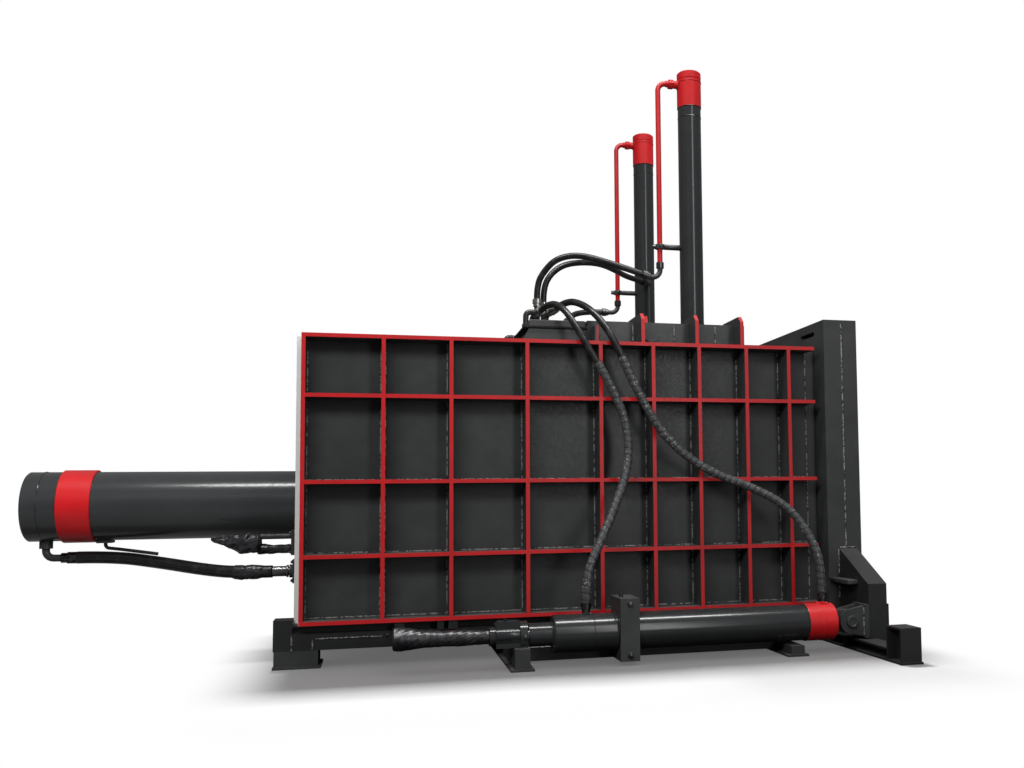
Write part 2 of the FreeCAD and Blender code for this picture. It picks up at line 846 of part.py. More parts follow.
def gate_arm():
    """The outrigger that the side cylinder pushes on, with its ledge and rear plate."""
    root = -gate_half_width - seat
    outline = [
        (arm_back, root, arm_bottom),
        (arm_back, root, arm_top),
        (arm_back, -arm_outer, arm_shoulder),
        (arm_back, -arm_outer, arm_bottom),
    ]
    body = prism(outline, Vec(arm_width, 0, 0))
    beam_room = block((beam_back - seat, beam_back + beam_width + beam_foot + seat), (-beam_half_span, 0.0),
                      (0.0, beam_saddle + seat))
    ledge_z = (ledge_height, ledge_height + ledge_plate)
    ledge = block((gate_back, arm_back), (root - ledge_reach, root), ledge_z)
    rear_x = (arm_front, arm_front + arm_rear_plate)
    rear = block(rear_x, (-arm_outer + 60.0, root), (arm_bottom, arm_rear_top))
    return join([body.cut(beam_room), ledge, rear])


def beam_length(start, end, height, plate_starts):
    """A stretch of flanged beam across the machine with its end plates."""
    x = (beam_back, beam_back + beam_width)
    web_x = (beam_back + (beam_width - beam_web) / 2, beam_back + (beam_width + beam_web) / 2)
    web_z = (beam_flange, height - beam_flange)
    pieces = [block(x, (start, end), (height - beam_flange, height)), block(web_x, (start, end), web_z)]
    for plate_start in plate_starts:
        pieces.append(block(x, (plate_start, plate_start + beam_web), web_z))
    return pieces


def ground_beam():
    """The beam under the gate, low beside the side cylinders and tall again at its ends."""
    span = (-beam_half_span - 8.0, beam_half_span + 8.0)
    sole = block((beam_back - beam_foot, beam_back + beam_width + beam_foot), span, (0.0, beam_flange))
    gate_plates = (-gate_half_width, gate_half_width - beam_web)
    middle = beam_length(-gate_half_width, gate_half_width, beam_height, gate_plates)
    inner_end = -beam_half_span + beam_end_block
    near = beam_length(inner_end, -gate_half_width, beam_saddle, (arm_plate_y, ))
    near += beam_length(-beam_half_span, inner_end, beam_height, (-beam_half_span, inner_end - beam_web))
    return join([sole] + middle + near + [mirrored(piece) for piece in near])


save("gate_slab", gate_slab())
save("gate_frame", gate_frame())
save("gate_arms", both_sides(gate_arm()))
save("ground_beam", ground_beam())


# Side cylinders, their clevises and pins, guide shoes and rod anchors

axis_y = -side_axis_y
axis_z = side_axis_height


def clevis():
    base_x = (arm_back - seat - clevis_base, arm_back - seat)
    base_half = tang_half + ear_gap + ear_plate + 18.0
    base_z = (axis_z - clevis_base_height / 2, axis_z + clevis_base_height / 2)
    base = block(base_x, (axis_y - base_half, axis_y + base_half), base_z)
    ears = []
    for ear_y in (axis_y - tang_half - ear_gap - ear_plate, axis_y + tang_half + ear_gap):
        eye = along(Y, Vec(pin_x, ear_y, axis_z), ear_plate, 2 * ear_radius)
        root_half = clevis_base_height / 2 - 8.0
        cheek = prism([
            (pin_x, ear_y, axis_z - ear_radius),
            (pin_x, ear_y, axis_z + ear_radius),
            (base_x[0], ear_y, axis_z + root_half),
            (base_x[0], ear_y, axis_z - root_half),
        ], Vec(0, ear_plate, 0))
        ears += [eye, cheek]
    body = join([base] + ears)
    span = 2 * (tang_half + ear_gap + ear_plate)
    hole = along(Y, Vec(pin_x, axis_y - span / 2, axis_z), span, pin_dia + 2 * seat)
    return body.cut(hole)


def clevis_pin():
    reach = tang_half + ear_gap + ear_plate + seat
    shaft = along(Y, Vec(pin_x, axis_y - reach, axis_z), 2 * reach, pin_dia)
    near_head = along(Y, Vec(pin_x, axis_y - reach - pin_head, axis_z), pin_head, pin_head_dia)
    far_head = along(Y, Vec(pin_x, axis_y + reach, axis_z), pin_head, pin_head_dia)
    return join([shaft, near_head, far_head])


def side_cap():
    start = Vec(side_barrel_front + seat, axis_y, axis_z)
    body = along(X, start, side_cap_length, side_cap_od)
    body = chamfered(body, side_end_rounding, lambda edge: abs(edge.BoundBox.XMin - side_cap_front) < 0.01)
    tang_y = axis_y - tang_half
    eye = along(Y, Vec(pin_x, tang_y, axis_z), 2 * tang_half, 2 * tang_radius)
    neck = block((side_cap_front - 20.0, pin_x), (tang_y, tang_y + 2 * tang_half),
                 (axis_z - tang_radius, axis_z + tang_radius))
    boss_start = Vec(side_barrel_front + cap_boss_offset, axis_y, axis_z)
    boss = along(Z, boss_start, side_cap_od / 2 + side_boss_height, side_boss_dia)
    hole = along(Y, Vec(pin_x, tang_y, axis_z), 2 * tang_half, pin_dia + 2 * seat)
    return join([body, neck, eye, boss]).cut(hole)


def side_barrel():
    start = Vec(side_barrel_back, axis_y, axis_z)
    shell = along(X, start, side_barrel_length, side_barrel_od)
    back = side_barrel_back
    shell = chamfered(shell, side_end_rounding, lambda edge: abs(edge.BoundBox.XMax - back) < 0.01)
    neck_start = Vec(side_barrel_back - side_neck_length, axis_y, axis_z)
    neck = along(X, neck_start, side_neck_length, side_neck_od)
    boss_start = Vec(side_barrel_back + head_boss_offset, axis_y, axis_z)
    boss = along(Z, boss_start, side_barrel_od / 2 + side_boss_height, side_boss_dia)
    whole = join([shell, neck, boss])
    bore_start = Vec(side_barrel_back + side_gland_length, axis_y, axis_z)
    whole = whole.cut(along(X, bore_start, side_barrel_length, side_bore))
    hole_length = side_neck_length + side_gland_length
    return whole.cut(along(X, neck_start, hole_length, side_rod_dia + 2 * running_gap))


def guide_shoe():
    """Two halves clamped round the barrel, the inner one with a tongue over the guide rail."""
    x = (shoe_x, shoe_x + shoe_width)
    z = (shoe_bottom, shoe_top)
    barrel = along(X, Vec(shoe_x, axis_y, axis_z), shoe_width, side_barrel_od + 2 * seat)
    outer = block(x, (axis_y - shoe_half_depth, axis_y - seat), z).cut(barrel)
    inner_body = block(x, (axis_y + seat, axis_y + shoe_half_depth), z)
    tongue_low = foot_flange + seat + guide_rail_height + rail_gap
    tongue = block(x, (axis_y + shoe_half_depth, -guide_rail_outer_y + guide_rail_width),
                   (tongue_low, tongue_low + shoe_tongue_height))
    inner = join([inner_body, tongue]).cut(barrel)
    return Part.makeCompound([outer, inner])


def rod_anchor():
    """A clamp round the rod: a tube between a cradle and a plate, a split ring and a rear collar."""
    low = middle_foot_end + seat
    x = (anchor_front_x - anchor_length, anchor_front_x)
    cradle_y = (axis_y - anchor_cradle[0] / 2, axis_y + anchor_cradle[0] / 2)
    cradle = block((x[0], foot_box_width / 2), cradle_y, (low, low + anchor_cradle[1]))
    plate_low, plate_high = anchor_plate[1], anchor_plate[2]
    plate_y = axis_y - anchor_plate[0] / 2
    outline = [
        (x[0], plate_y, plate_low),
        (x[0], plate_y, plate_high - anchor_slant),
        (x[0] + anchor_slant, plate_y, plate_high),
        (x[1], plate_y, plate_high),
        (x[1], plate_y, plate_low),
    ]
    plate = prism(outline, Vec(0, anchor_plate[0], 0))
    tube = along(X, Vec(x[0], axis_y, axis_z), anchor_length, anchor_tube_dia)
    split_ring = along(X, Vec(x[1], axis_y, axis_z), split_ring_length, split_ring_dia)
    floor_room = block((x[0], x[1] + split_ring_length), (axis_y - split_ring_dia, axis_y + split_ring_dia),
                       (0.0, low))
    hole_start = Vec(x[0] - collar_length, axis_y, axis_z)
    collar = along(X, hole_start, collar_length, collar_dia)
    body = join([cradle, plate, tube.cut(floor_room), split_ring.cut(floor_room), collar])
    hole_length = collar_length + anchor_length + split_ring_length
    body = body.cut(along(X, hole_start, hole_length, side_rod_dia + 2 * seat))
    slit = block((x[1], x[1] + split_ring_length), (axis_y - ring_slit / 2, axis_y + ring_slit / 2),
                 (axis_z, axis_z + split_ring_dia))
    return body.cut(slit)


def side_rod():
    """The fixed rod: tail lug, shank through the anchor, and the piston inside the barrel."""
    lug_half = tail_lug_height / 2
    lug_x = (tail_lug_x, tail_lug_x + tail_lug_length)
    lug_y = (axis_y - tail_lug_width / 2, axis_y + tail_lug_width / 2)
    lug_z = axis_z + tail_lug_rise
    lug = block(lug_x, lug_y, (lug_z - lug_half, lug_z + lug_half))
    lug = chamfered(lug, tail_lug_chamfer, lambda edge: edge.BoundBox.YLength > tail_lug_width - 1.0)
    rod_start = Vec(lug_x[1] - 20.0, axis_y, axis_z)
    rod_end = side_piston_x + side_piston_length
    rod = along(X, rod_start, rod_end - rod_start.x, side_rod_dia)
    piston = along(X, Vec(side_piston_x, axis_y, axis_z), side_piston_length, side_bore - 2 * running_gap)
    return join([lug, rod, piston])


def rod_film():
    """Film wrapped round the rod tail, thinner towards the anchor."""
    start_x = tail_lug_x + tail_lug_length + seat
    end_x = anchor_front_x - anchor_length - collar_length - seat
    start = Vec(start_x, axis_y, axis_z)
    film = Part.makeCone(film_tail_dia / 2, film_front_dia / 2, end_x - start_x, start, X)
    return film.cut(along(X, start, end_x - start_x, side_rod_dia + 2 * running_gap))


save("clevises", both_sides(clevis()))
save("clevis_pins", both_sides(clevis_pin()))
side_barrel_near = side_barrel()
save("side_barrel_near", side_barrel_near)
save("side_barrel_far", mirrored(side_barrel_near))
side_cap_near = side_cap()
save("side_cap_near", side_cap_near)
save("side_cap_far", mirrored(side_cap_near))
save("guide_shoes", both_sides(guide_shoe()))
anchor_near = rod_anchor()
save("rod_anchor_near", anchor_near)
save("rod_anchor_far", mirrored(anchor_near))
side_rod_near = side_rod()
save("side_rod_near", side_rod_near)
save("side_rod_far", mirrored(side_rod_near))
save("rod_films", both_sides(rod_film()))


# Manifolds on the hose tray, hoses, and the pipes that feed them

tray_top = wall_top + seat + feed_roof_height + seat + tray_thickness
manifold_top = tray_top + seat + manifold_size[2]

press_hose_foot = manifold_top + fitting_length + 116.0
side_hose_rise = side_boss_height + ferrule_length + 2 * seat
head_end = (side_barrel_back + head_boss_offset, side_axis_height + side_barrel_od / 2 + side_hose_rise)
cap_end = (side_barrel_front + cap_boss_offset, side_axis_height + side_cap_od / 2 + side_hose_rise)
main_start = (main_barrel_back + port_boss_offset + 200.0, main_axis_height - main_port_drop)
main_flange_x = rear_outer - seat - main_flange[0] - main_hub[0]
main_end = (main_flange_x - main_sleeve[0] - 2 * seat, main_axis_height - main_hose_end_drop)
pipe_end_reach = 2.2 * press_pipe_dia + ferrule_length + 2 * seat
inner_end = (press_axis_x - 90.0, press_axis_y - press_barrel_od / 2 - 140.0)


def pipe_hose_end(reach):
    """A point in line with the near press pipe's last bend, reach away from it."""
    return (pipe_x + near_pipe_turn.x * reach, -press_axis_y, press_pipe_foot + near_pipe_turn.z * reach)


outer_press_route = [
    (262, -520, press_hose_foot), (262, -520, press_hose_foot + 115), (313, -560, 2778), (401, -600, 2868),
    (568, -640, 2894), pipe_hose_end(pipe_end_reach + 240.0), pipe_hose_end(pipe_end_reach),
]
inner_press_route = [
    (330, -400, press_hose_foot), (330, -400, press_hose_foot + 107), (377, -405, 2781), (487, -380, 2873),
    (660, -300, 2920), (850, -100, 2960), (1020, 110, 2962), (1178, 335, press_port_height),
    (inner_end[0], inner_end[1], press_port_height),
]
far_press_route = [
    (520, -400, 2420), (590, -200, 2425), (630, 20, 2435), (640, 280, 2500), (690, 540, 2625),
    (838, press_axis_y, press_pipe_foot), (pipe_x - pipe_end_reach, press_axis_y, press_pipe_foot),
]
head_route = [
    (264, -690, 2454), (313, -840, 2490), (383, -1010, 2407), (452, -1090, 2261), (534, -1135, 2102),
    (652, -1150, 1905), (790, -1160, 1602), (791, -1195, 1302), (665, -1285, 1010), (540, -1370, 780),
    (head_end[0], axis_y, 575), (head_end[0], axis_y, head_end[1]),
]
cap_route = [
    (392, -610, 2488), (449, -740, 2522), (535, -900, 2469), (623, -1030, 2355), (717, -1120, 2172),
    (862, -1145, 1829), (1056, -1160, 1491), (1355, -1175, 1258), (1702, -1220, 1135), (1950, -1290, 985),
    (2075, -1385, 735), (cap_end[0], axis_y, 575), (cap_end[0], axis_y, cap_end[1]),
]
main_route = [
    (main_start[0], 0, main_start[1]), (main_start[0] + 240, 0, main_start[1]), (-2370, -80, 653),
    (-2050, -262, 606), (-1830, main_hose_y, main_end[1]), (main_end[0], main_hose_y, main_end[1]),
]


def manifold():
    x = (manifold_x - manifold_size[0] / 2, manifold_x + manifold_size[0] / 2)
    y = (-manifold_y - manifold_size[1] / 2, -manifold_y + manifold_size[1] / 2)
    body = block(x, y, (tray_top + seat, manifold_top))
    return chamfered(body, 6.0, lambda edge: abs(edge.BoundBox.ZMin - manifold_top) < 0.01)


def manifold_elbow(points, length):
    """The bent pipe from the manifold's top up to the first sleeve of a hose."""
    start = Vec(*points[0])
    back = (start - Vec(*points[1])).normalize()
    sleeve_end = start + back * (length + 2 * seat)
    corner = sleeve_end + back * elbow_reach
    foot = Vec(corner.x, corner.y, manifold_top + seat)
    route = [(p.x, p.y, p.z) for p in (foot, corner, sleeve_end)]
    return swept(route, elbow_pipe_dia, 0.9 * elbow_pipe_dia)[0]


def manifold_stem(points):
    """The straight pipe from the manifold's top up to the first sleeve of a press hose."""
    start = Vec(points[0][0], points[0][1], manifold_top + seat)
    length = points[0][2] - ferrule_length - 2 * seat - start.z
    return along(Z, start, length, elbow_pipe_dia)


def press_crossover():
    """The pipe between the press cylinders' lower ports, low over the crown, and its tee."""
    port_y = press_axis_y - press_barrel_od / 2 - side_boss_height - seat
    low = crown_top + seat + crossover_dia / 2 + running_gap
    near_y = -port_y + 56.0
    tee_y = port_y - 30.0
    route = [
        (press_axis_x, -port_y, press_port_height),
        (press_axis_x, near_y, press_port_height),
        (press_axis_x, near_y, low),
        (press_axis_x, tee_y, low),
        (press_axis_x, tee_y, press_port_height),
    ]
    pipe = swept(route, crossover_dia, 1.2 * crossover_dia)[0]
    hose_end = Vec(*inner_press_route[-1])
    away = (hose_end - Vec(*inner_press_route[-2])).normalize()
    sleeve_end = hose_end + away * (ferrule_length + 2 * seat)
    corner = sleeve_end + away * ((press_axis_x - sleeve_end.x) / away.x)
    tee_route = [
        (press_axis_x, port_y, press_port_height),
        (corner.x, corner.y, corner.z),
        (sleeve_end.x, sleeve_end.y, sleeve_end.z),
    ]
    tee = swept(tee_route, elbow_pipe_dia, 0.65 * elbow_pipe_dia)[0]
    return join([pipe, tee])


def main_port():
    """The port under the main barrel's blind end, with its elbow, and the drain pipe of the pad."""
    port_x = main_barrel_back + port_boss_offset
    boss_top = main_axis_height - main_barrel_od / 2 * 0.95
    boss_bottom = boss_top - port_boss_height
    hollow = along(X, Vec(main_cap_back, 0, main_axis_height), main_barrel_length, main_barrel_od + 2 * seat)
    boss = along(Z * -1, Vec(port_x, 0, main_axis_height - main_bore / 2), main_bore, port_boss_dia)
    boss = boss.common(block((port_x - 60.0, port_x + 60.0), (-60.0, 60.0), (boss_bottom, main_axis_height)))
    hose_start = Vec(*main_route[0])
    route = [
        (port_x, 0, boss_bottom + 10.0),
        (port_x, 0, hose_start.z),
        (hose_start.x - fitting_length - 2 * seat, 0, hose_start.z),
    ]
    elbow = swept(route, main_pipe_dia, 1.05 * main_pipe_dia)[0]
    return join([boss.cut(hollow), elbow])


def drain_pipe():
    pad_x = main_barrel_back + port_pad_offset
    top = main_axis_height - main_barrel_od / 2 - port_pad[2] * 0.6 - seat
    beside = main_hose_dia / 2 + 36.0
    route = [
        (pad_x, 0, top),
        (pad_x, 0, top - 34.0),
        (pad_x + 90.0, beside, top - 52.0),
        (pad_x + 330.0, beside, top - 90.0),
    ]
    return swept(route, drain_pipe_dia, drain_pipe_dia * 1.2)[0]


def main_flange_block():
    """The block on the rear plate that the main hose ends at, with its hub."""
    front = rear_outer - seat
    y = (main_hose_y - main_flange[1] / 2, main_hose_y + main_flange[1] / 2)
    z = (main_end[1] - main_flange[2] / 2, main_end[1] + main_flange[2] / 2)
    plate = block((front - main_flange[0], front), y, z)
    hub = along(X, Vec(main_flange_x, main_hose_y, main_end[1]), main_hub[0], main_hub[1])
    return join([plate, hub])


def return_pipes():
    """The block on the rear plate under the main barrel, with two pipes that end in a wrap."""
    front = rear_outer - seat
    centre = Vec(front - return_block[0], return_block_place[0], main_axis_height - return_block_place[1])
    half = return_block[1] / 2
    z = (centre.z - return_block[2] / 2, centre.z + return_block[2] / 2)
    body = block((centre.x, front), (centre.y - half, centre.y + half), z)
    pipes = []
    for side in (-1, 1):
        start = centre + Vec(0, -side * return_pipe_spread[0], side * return_pipe_spread[1])
        pipes.append(along(X * -1, start, return_pipe_length, return_pipe_dia))
    return join([body] + pipes)


def return_wrap():
    """The film tied over the free ends of the return pipes, tapering to a tip."""
    sides = 8
    back = rear_outer - 2 * seat - return_block[0] - return_pipe_length
    rings = []
    for reach, radius, rise in return_wrap_stations:
        centre_z = main_axis_height - return_block_place[1] + rise
        corners = []
        for count in range(sides + 1):
            turn = 2 * math.pi * (count + 0.5) / sides
            y = return_block_place[0] + radius * math.cos(turn)
            corners.append(Vec(back - reach, y, centre_z + radius * math.sin(turn)))
        rings.append(Part.makePolygon(corners))
    return Part.makeLoft(rings, True, True)


def hose_ends(points):
    return [ferrule(points[0], points[1], ferrule_length), ferrule(points[-1], points[-2], ferrule_length)]


save("manifolds", both_sides(manifold()))

elbows = [manifold_elbow(head_route, fitting_length), manifold_elbow(cap_route, fitting_length)]
far_elbows = [mirrored(elbow) for elbow in elbows]
press_pipes = [manifold_stem(outer_press_route), manifold_stem(inner_press_route)]
press_pipes += [manifold_elbow(far_press_route, ferrule_length), press_crossover()]
save("pipework", Part.makeCompound(elbows + far_elbows + press_pipes))

upper_ends = [ferrule(route[0], route[1], fitting_length) for route in (head_route, cap_route)]
lower_ends = [ferrule(route[-1], route[-2], ferrule_length) for route in (head_route, cap_route)]
fixed_ends = upper_ends + [mirrored(end) for end in upper_ends]
for route in (outer_press_route, inner_press_route, far_press_route):
    fixed_ends += hose_ends(route)
fixed_ends.append(ferrule(main_route[0], main_route[1], fitting_length, main_hose_dia))
sleeve_start = Vec(main_end[0] + seat, main_hose_y, main_end[1])
fixed_ends.append(along(X, sleeve_start, main_sleeve[0], main_sleeve[1]))
save("hose_ferrules", Part.makeCompound(fixed_ends))
save("side_ferrules", both_sides(Part.makeCompound(lower_ends)))

save("main_pipes", Part.makeCompound([main_port(), drain_pipe(), main_flange_block()]))
save("return_pipes", return_pipes())
save("return_wrap", return_wrap())

head_hose = hose("head hose", head_route, hose_dia)
cap_hose = hose("cap hose", cap_route, hose_dia)
save("hose_head_near", head_hose)
save("hose_head_far", mirrored(head_hose))
save("hose_cap_near", cap_hose)
save("hose_cap_far", mirrored(cap_hose))
save("hose_press_outer", hose("outer press hose", outer_press_route, hose_dia))
save("hose_press_inner", hose("inner press hose", inner_press_route, hose_dia))
save("hose_press_far", hose("far press hose", far_press_route, hose_dia))
save("hose_main", hose("main hose", main_route, main_hose_dia))
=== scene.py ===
import math
import random
from functools import partial

import bpy
import numpy as np
from mathutils import Matrix, Vector


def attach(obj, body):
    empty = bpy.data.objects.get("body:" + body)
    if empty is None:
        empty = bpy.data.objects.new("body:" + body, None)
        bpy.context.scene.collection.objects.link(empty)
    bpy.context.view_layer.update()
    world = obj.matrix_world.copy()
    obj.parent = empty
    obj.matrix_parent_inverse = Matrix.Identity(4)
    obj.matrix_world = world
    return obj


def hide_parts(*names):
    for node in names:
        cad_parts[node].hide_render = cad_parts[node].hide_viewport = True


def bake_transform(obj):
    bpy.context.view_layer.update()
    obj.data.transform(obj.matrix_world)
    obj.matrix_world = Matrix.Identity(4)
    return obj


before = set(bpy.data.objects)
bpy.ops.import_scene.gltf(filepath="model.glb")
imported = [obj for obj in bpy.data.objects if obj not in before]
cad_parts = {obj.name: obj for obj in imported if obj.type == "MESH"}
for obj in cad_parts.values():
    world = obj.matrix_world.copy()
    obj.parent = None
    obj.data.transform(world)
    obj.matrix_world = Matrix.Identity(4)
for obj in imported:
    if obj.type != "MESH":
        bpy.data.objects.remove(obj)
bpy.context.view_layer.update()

print("frame loaded:", len(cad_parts), "nodes")
random.seed(11)

# Camera, floor and light

camera = {
    "place": (-0.886, -7.870, 1.094),
    "turn": (93.845, 0.654, -14.702),  # degrees about X, Y and Z
    "lens": 35.107,
    "sensor": 36.0,
    "shift": (-0.125, 0.043),          # the photograph is the top left part of a wider picture
    "reach": 200.0,
}
# each lamp lights either the machine or the floor, and the mirrored ones also shine in the gloss
lamps = {
    "front": {"place": (-2.9, -6.6, 4.9), "aim": (-1.1, -0.9, 1.6), "size": (4.0, 1.6), "power": 450,
              "on": "machine", "mirrored": False},
    "strip": {"place": (0.6, -3.0, 9.0), "aim": (0.6, -0.9, 1.0), "size": (8.0, 0.70), "power": 760,
              "on": "machine", "mirrored": True},
    "upright": {"place": (3.1, -9.5, 4.5), "aim": (1.4, -0.7, 3.4), "size": (1.3, 7.0), "power": 150,
                "on": "machine", "mirrored": True},
    "back": {"place": (1.0, 9.5, 5.5), "aim": (0.0, 0.6, 1.4), "size": (6.0, 2.5), "power": 700,
             "on": "machine", "mirrored": False},
    "ends": {"place": (10.0, 0.5, 4.5), "aim": (2.0, 0.0, 1.2), "size": (2.5, 5.0), "power": 420,
             "on": "machine", "mirrored": False},
    "roof": {"place": (0.20, 2.7, 11.6), "aim": (0.20, -0.6, 0.0), "size": (3.4, 2.0), "power": 1620,
             "on": "floor", "mirrored": False},
}
sky = {
    "lit": (0.02, 0.20),       # strength as a light, low down and high up
    "mirrored": (0.03, 0.24),  # strength in reflections, low down and high up
    "shown": 1.0,              # strength behind the machine
    "rise": (-0.15, 0.65),     # where the low strength ends and the high one begins
}
# the floor is plain matte white round the machine, where its shadow falls, and glows further away,
# so that no horizon shows
floorLook = {"size": 60.0, "drop": 0.001, "seen": 0.95, "bounce": 0.22,
             "glow": 0.12, "middle": (0.50, -0.30), "half": (1.90, 2.05), "fade": (0.60, 0.80)}
white = (1, 1, 1, 1)


def hexColour(text):
    # sRGB hex to linear, with alpha 1
    parts = [int(text[i:i + 2], 16) / 255 for i in (1, 3, 5)]
    return [p / 12.92 if p <= 0.04045 else ((p + 0.055) / 1.055) ** 2.4 for p in parts] + [1.0]


def feed(socket, value):
    # a link where the value is another node's output, else the value itself
    if isinstance(value, bpy.types.NodeSocket):
        socket.id_data.links.new(value, socket)
    else:
        socket.default_value = value


def addNode(tree, kind, inputs=(), **settings):
    # one shader node with its settings, and its inputs in their order or by name; gives its outputs
    node = tree.nodes.new("ShaderNode" + kind)
    for key, value in settings.items():
        setattr(node, key, value)
    for key, value in inputs.items() if isinstance(inputs, dict) else enumerate(inputs):
        feed(node.inputs[key], value)
    return node.outputs


def addCamera():
    data = bpy.data.cameras.new("camera")
    data.lens = camera["lens"]
    data.sensor_width = camera["sensor"]
    data.shift_x, data.shift_y = camera["shift"]
    data.clip_end = camera["reach"]
    viewer = bpy.data.objects.new("camera", data)
    viewer.location = camera["place"]
    viewer.rotation_euler = [math.radians(a) for a in camera["turn"]]
    bpy.context.scene.collection.objects.link(viewer)
    bpy.context.scene.camera = viewer


def addLamp(name, lamp, floor):
    data = bpy.data.lights.new(name, "AREA")
    data.shape = "RECTANGLE"
    data.size, data.size_y = lamp["size"]
    data.energy = lamp["power"]
    holder = bpy.data.objects.new(name, data)
    holder.location = lamp["place"]
    holder.rotation_euler = (Vector(lamp["aim"]) - Vector(lamp["place"])).to_track_quat("-Z", "Y").to_euler()
    holder.visible_glossy = lamp["mirrored"]
    bpy.context.scene.collection.objects.link(holder)
    # a studio flag between the lamp and what it shouldn't reach
    reached = bpy.data.collections.new(name + "Reaches")
    reached.objects.link(floor)
    holder.light_linking.receiver_collection = reached
    if lamp["on"] == "machine":
        reached.collection_objects[0].light_linking.link_state = "EXCLUDE"


def addWorld():
    world = bpy.data.worlds.new("studio")
    bpy.context.scene.world = world
    world.use_nodes = True
    world.node_tree.nodes.clear()
    add = partial(addNode, world.node_tree)
    rays = add("LightPath")
    mirrored = add("Math", (rays["Is Glossy Ray"], rays["Is Transmission Ray"]), operation="MAXIMUM")[0]
    height = add("SeparateXYZ", (add("TexCoord")["Generated"],))[2]
    rise = add("MapRange", (height, *sky["rise"]), interpolation_type="SMOOTHSTEP")[0]
    strengths = [add("MapRange", (rise, 0.0, 1.0, *sky[use]))[0] for use in ("lit", "mirrored")]
    lit, shine, seen = [add("Background", {"Color": white, "Strength": strength})[0]
                        for strength in (*strengths, sky["shown"])]
    unseen = add("MixShader", (mirrored, lit, shine))[0]
    whole = add("MixShader", (rays["Is Camera Ray"], unseen, seen))[0]
    add("OutputWorld", {"Surface": whole})


def addFloor():
    bpy.ops.object.select_all(action="DESELECT")
    bpy.ops.mesh.primitive_plane_add(size=floorLook["size"], location=(0, 0, -floorLook["drop"]))
    floor = bpy.context.object
    floor.name = "floor"
    finish = bpy.data.materials.new("studioFloor")
    finish.use_nodes = True
    finish.node_tree.nodes.clear()
    add = partial(addNode, finish.node_tree)
    onCamera = add("LightPath")["Is Camera Ray"]
    pale = add("MapRange", (onCamera, 0.0, 1.0, floorLook["bounce"], floorLook["seen"]))[0]
    matte = add("BsdfDiffuse", {"Color": pale})[0]
    glow = add("Emission", {"Color": white, "Strength": 1.0})[0]
    place = add("SeparateXYZ", (add("TexCoord")["Object"],))
    beyond = []
    for axis in (0, 1):
        offset = add("Math", (place[axis], floorLook["middle"][axis]), operation="SUBTRACT")[0]
        offset = add("Math", (offset,), operation="ABSOLUTE")[0]
        past = add("Math", (offset, floorLook["half"][axis]), operation="SUBTRACT")[0]
        past = add("Math", (past, 0.0), operation="MAXIMUM")[0]
        share = add("Math", (past, floorLook["fade"][axis]), operation="DIVIDE")[0]
        beyond.append(add("Math", (share, 2.0), operation="POWER")[0])
    away = add("Math", beyond, operation="ADD")[0]
    away = add("Math", (away,), operation="SQRT")[0]
    glows = add("MapRange", (away, 0.0, 1.0, floorLook["glow"], 1.0), interpolation_type="SMOOTHSTEP")[0]
    glows = add("Math", (onCamera, glows), operation="MULTIPLY")[0]
    add("OutputMaterial", {"Surface": add("MixShader", (glows, matte, glow))[0]})
    floor.data.materials.append(finish)
    return floor


bpy.context.scene.view_settings.view_transform = "Standard"
addCamera()
addWorld()
floor = addFloor()
for lampName, lamp in lamps.items():
    addLamp(lampName, lamp, floor)
print("camera, lamps and floor ready")

# Materials

noiseSpread = (0.3, 0.7)  # nearly all values of a noise lie between these


def newMaterial(name):
    # a material, what adds nodes to it, its shader, and the piece's own coordinates
    material = bpy.data.materials.new(name)
    material.use_nodes = True
    add = partial(addNode, material.node_tree)
    shader = next(n for n in material.node_tree.nodes if n.type == "BSDF_PRINCIPLED")
    return material, add, shader, add("TexCoord")["Object"]


def setShader(shader, colour, rough, normal, metallic=0.0):
    for name, value in (("Base Color", colour), ("Roughness", rough), ("Normal", normal), ("Metallic", metallic)):
        feed(shader.inputs[name], value)


def between(add, value, low, high):
    # 1 where the value lies between low and high, else 0
    return add("Math", (value, (low + high) / 2, (high - low) / 2), operation="COMPARE")[0]


# Two-pack enamel sprayed on plate that came from the mill: even colour, slight orange peel and
# rolling waves, dust on what faces up. The manifolds' rubber mats are uneven in the same way.
enamels = {
    "satinBlackEnamel": {"colour": "#2b2c2c", "worn": "#3a3b3b", "roughness": (0.36, 0.52), "wave": 0.0014,
                         "dust": 0.6},
    "glossBlackEnamel": {"colour": "#222324", "worn": "#292a2b", "roughness": (0.17, 0.22), "wave": 0.00008,
                         "dust": 0.1},
    # the main cylinder's black, a shade paler than the gloss black of the other cylinders
    "cylinderBlackEnamel": {"colour": "#2e2f30", "worn": "#353637", "roughness": (0.18, 0.24), "wave": 0.00008,
                            "dust": 0.1},
    # painted shade: a darker and duller copy of the satin black, for the skids, gate arms and ground beam low down
    "shadedBlackEnamel": {"colour": "#191a1a", "worn": "#242525", "roughness": (0.42, 0.58), "wave": 0.0010,
                         "dust": 0.3},
    # moulded rubber, dull all over and near black; on the strip under the manifolds it is also painted shadow
    "rubberAndShadowBlack": {"colour": "#0b0b0b", "worn": "#141414", "roughness": (0.70, 0.85), "wave": 0.0010,
                  "dust": 0.1},
    "carmineRedEnamel": {"colour": "#a01317", "worn": "#860f13", "roughness": (0.36, 0.50), "wave": 0.0004,
                         "dust": 0.1, "ior": 1.36},
    "signalRedEnamel": {"colour": "#b8151a", "worn": "#9c1014", "roughness": (0.34, 0.46), "wave": 0.0004,
                        "dust": 0.2},
}
enamelGrain = {"mottleMm": 260.0, "peelMm": 14.0, "waveMm": 420.0, "dust": "#4c4b49", "dustRough": 0.25,
               "ior": 1.5}


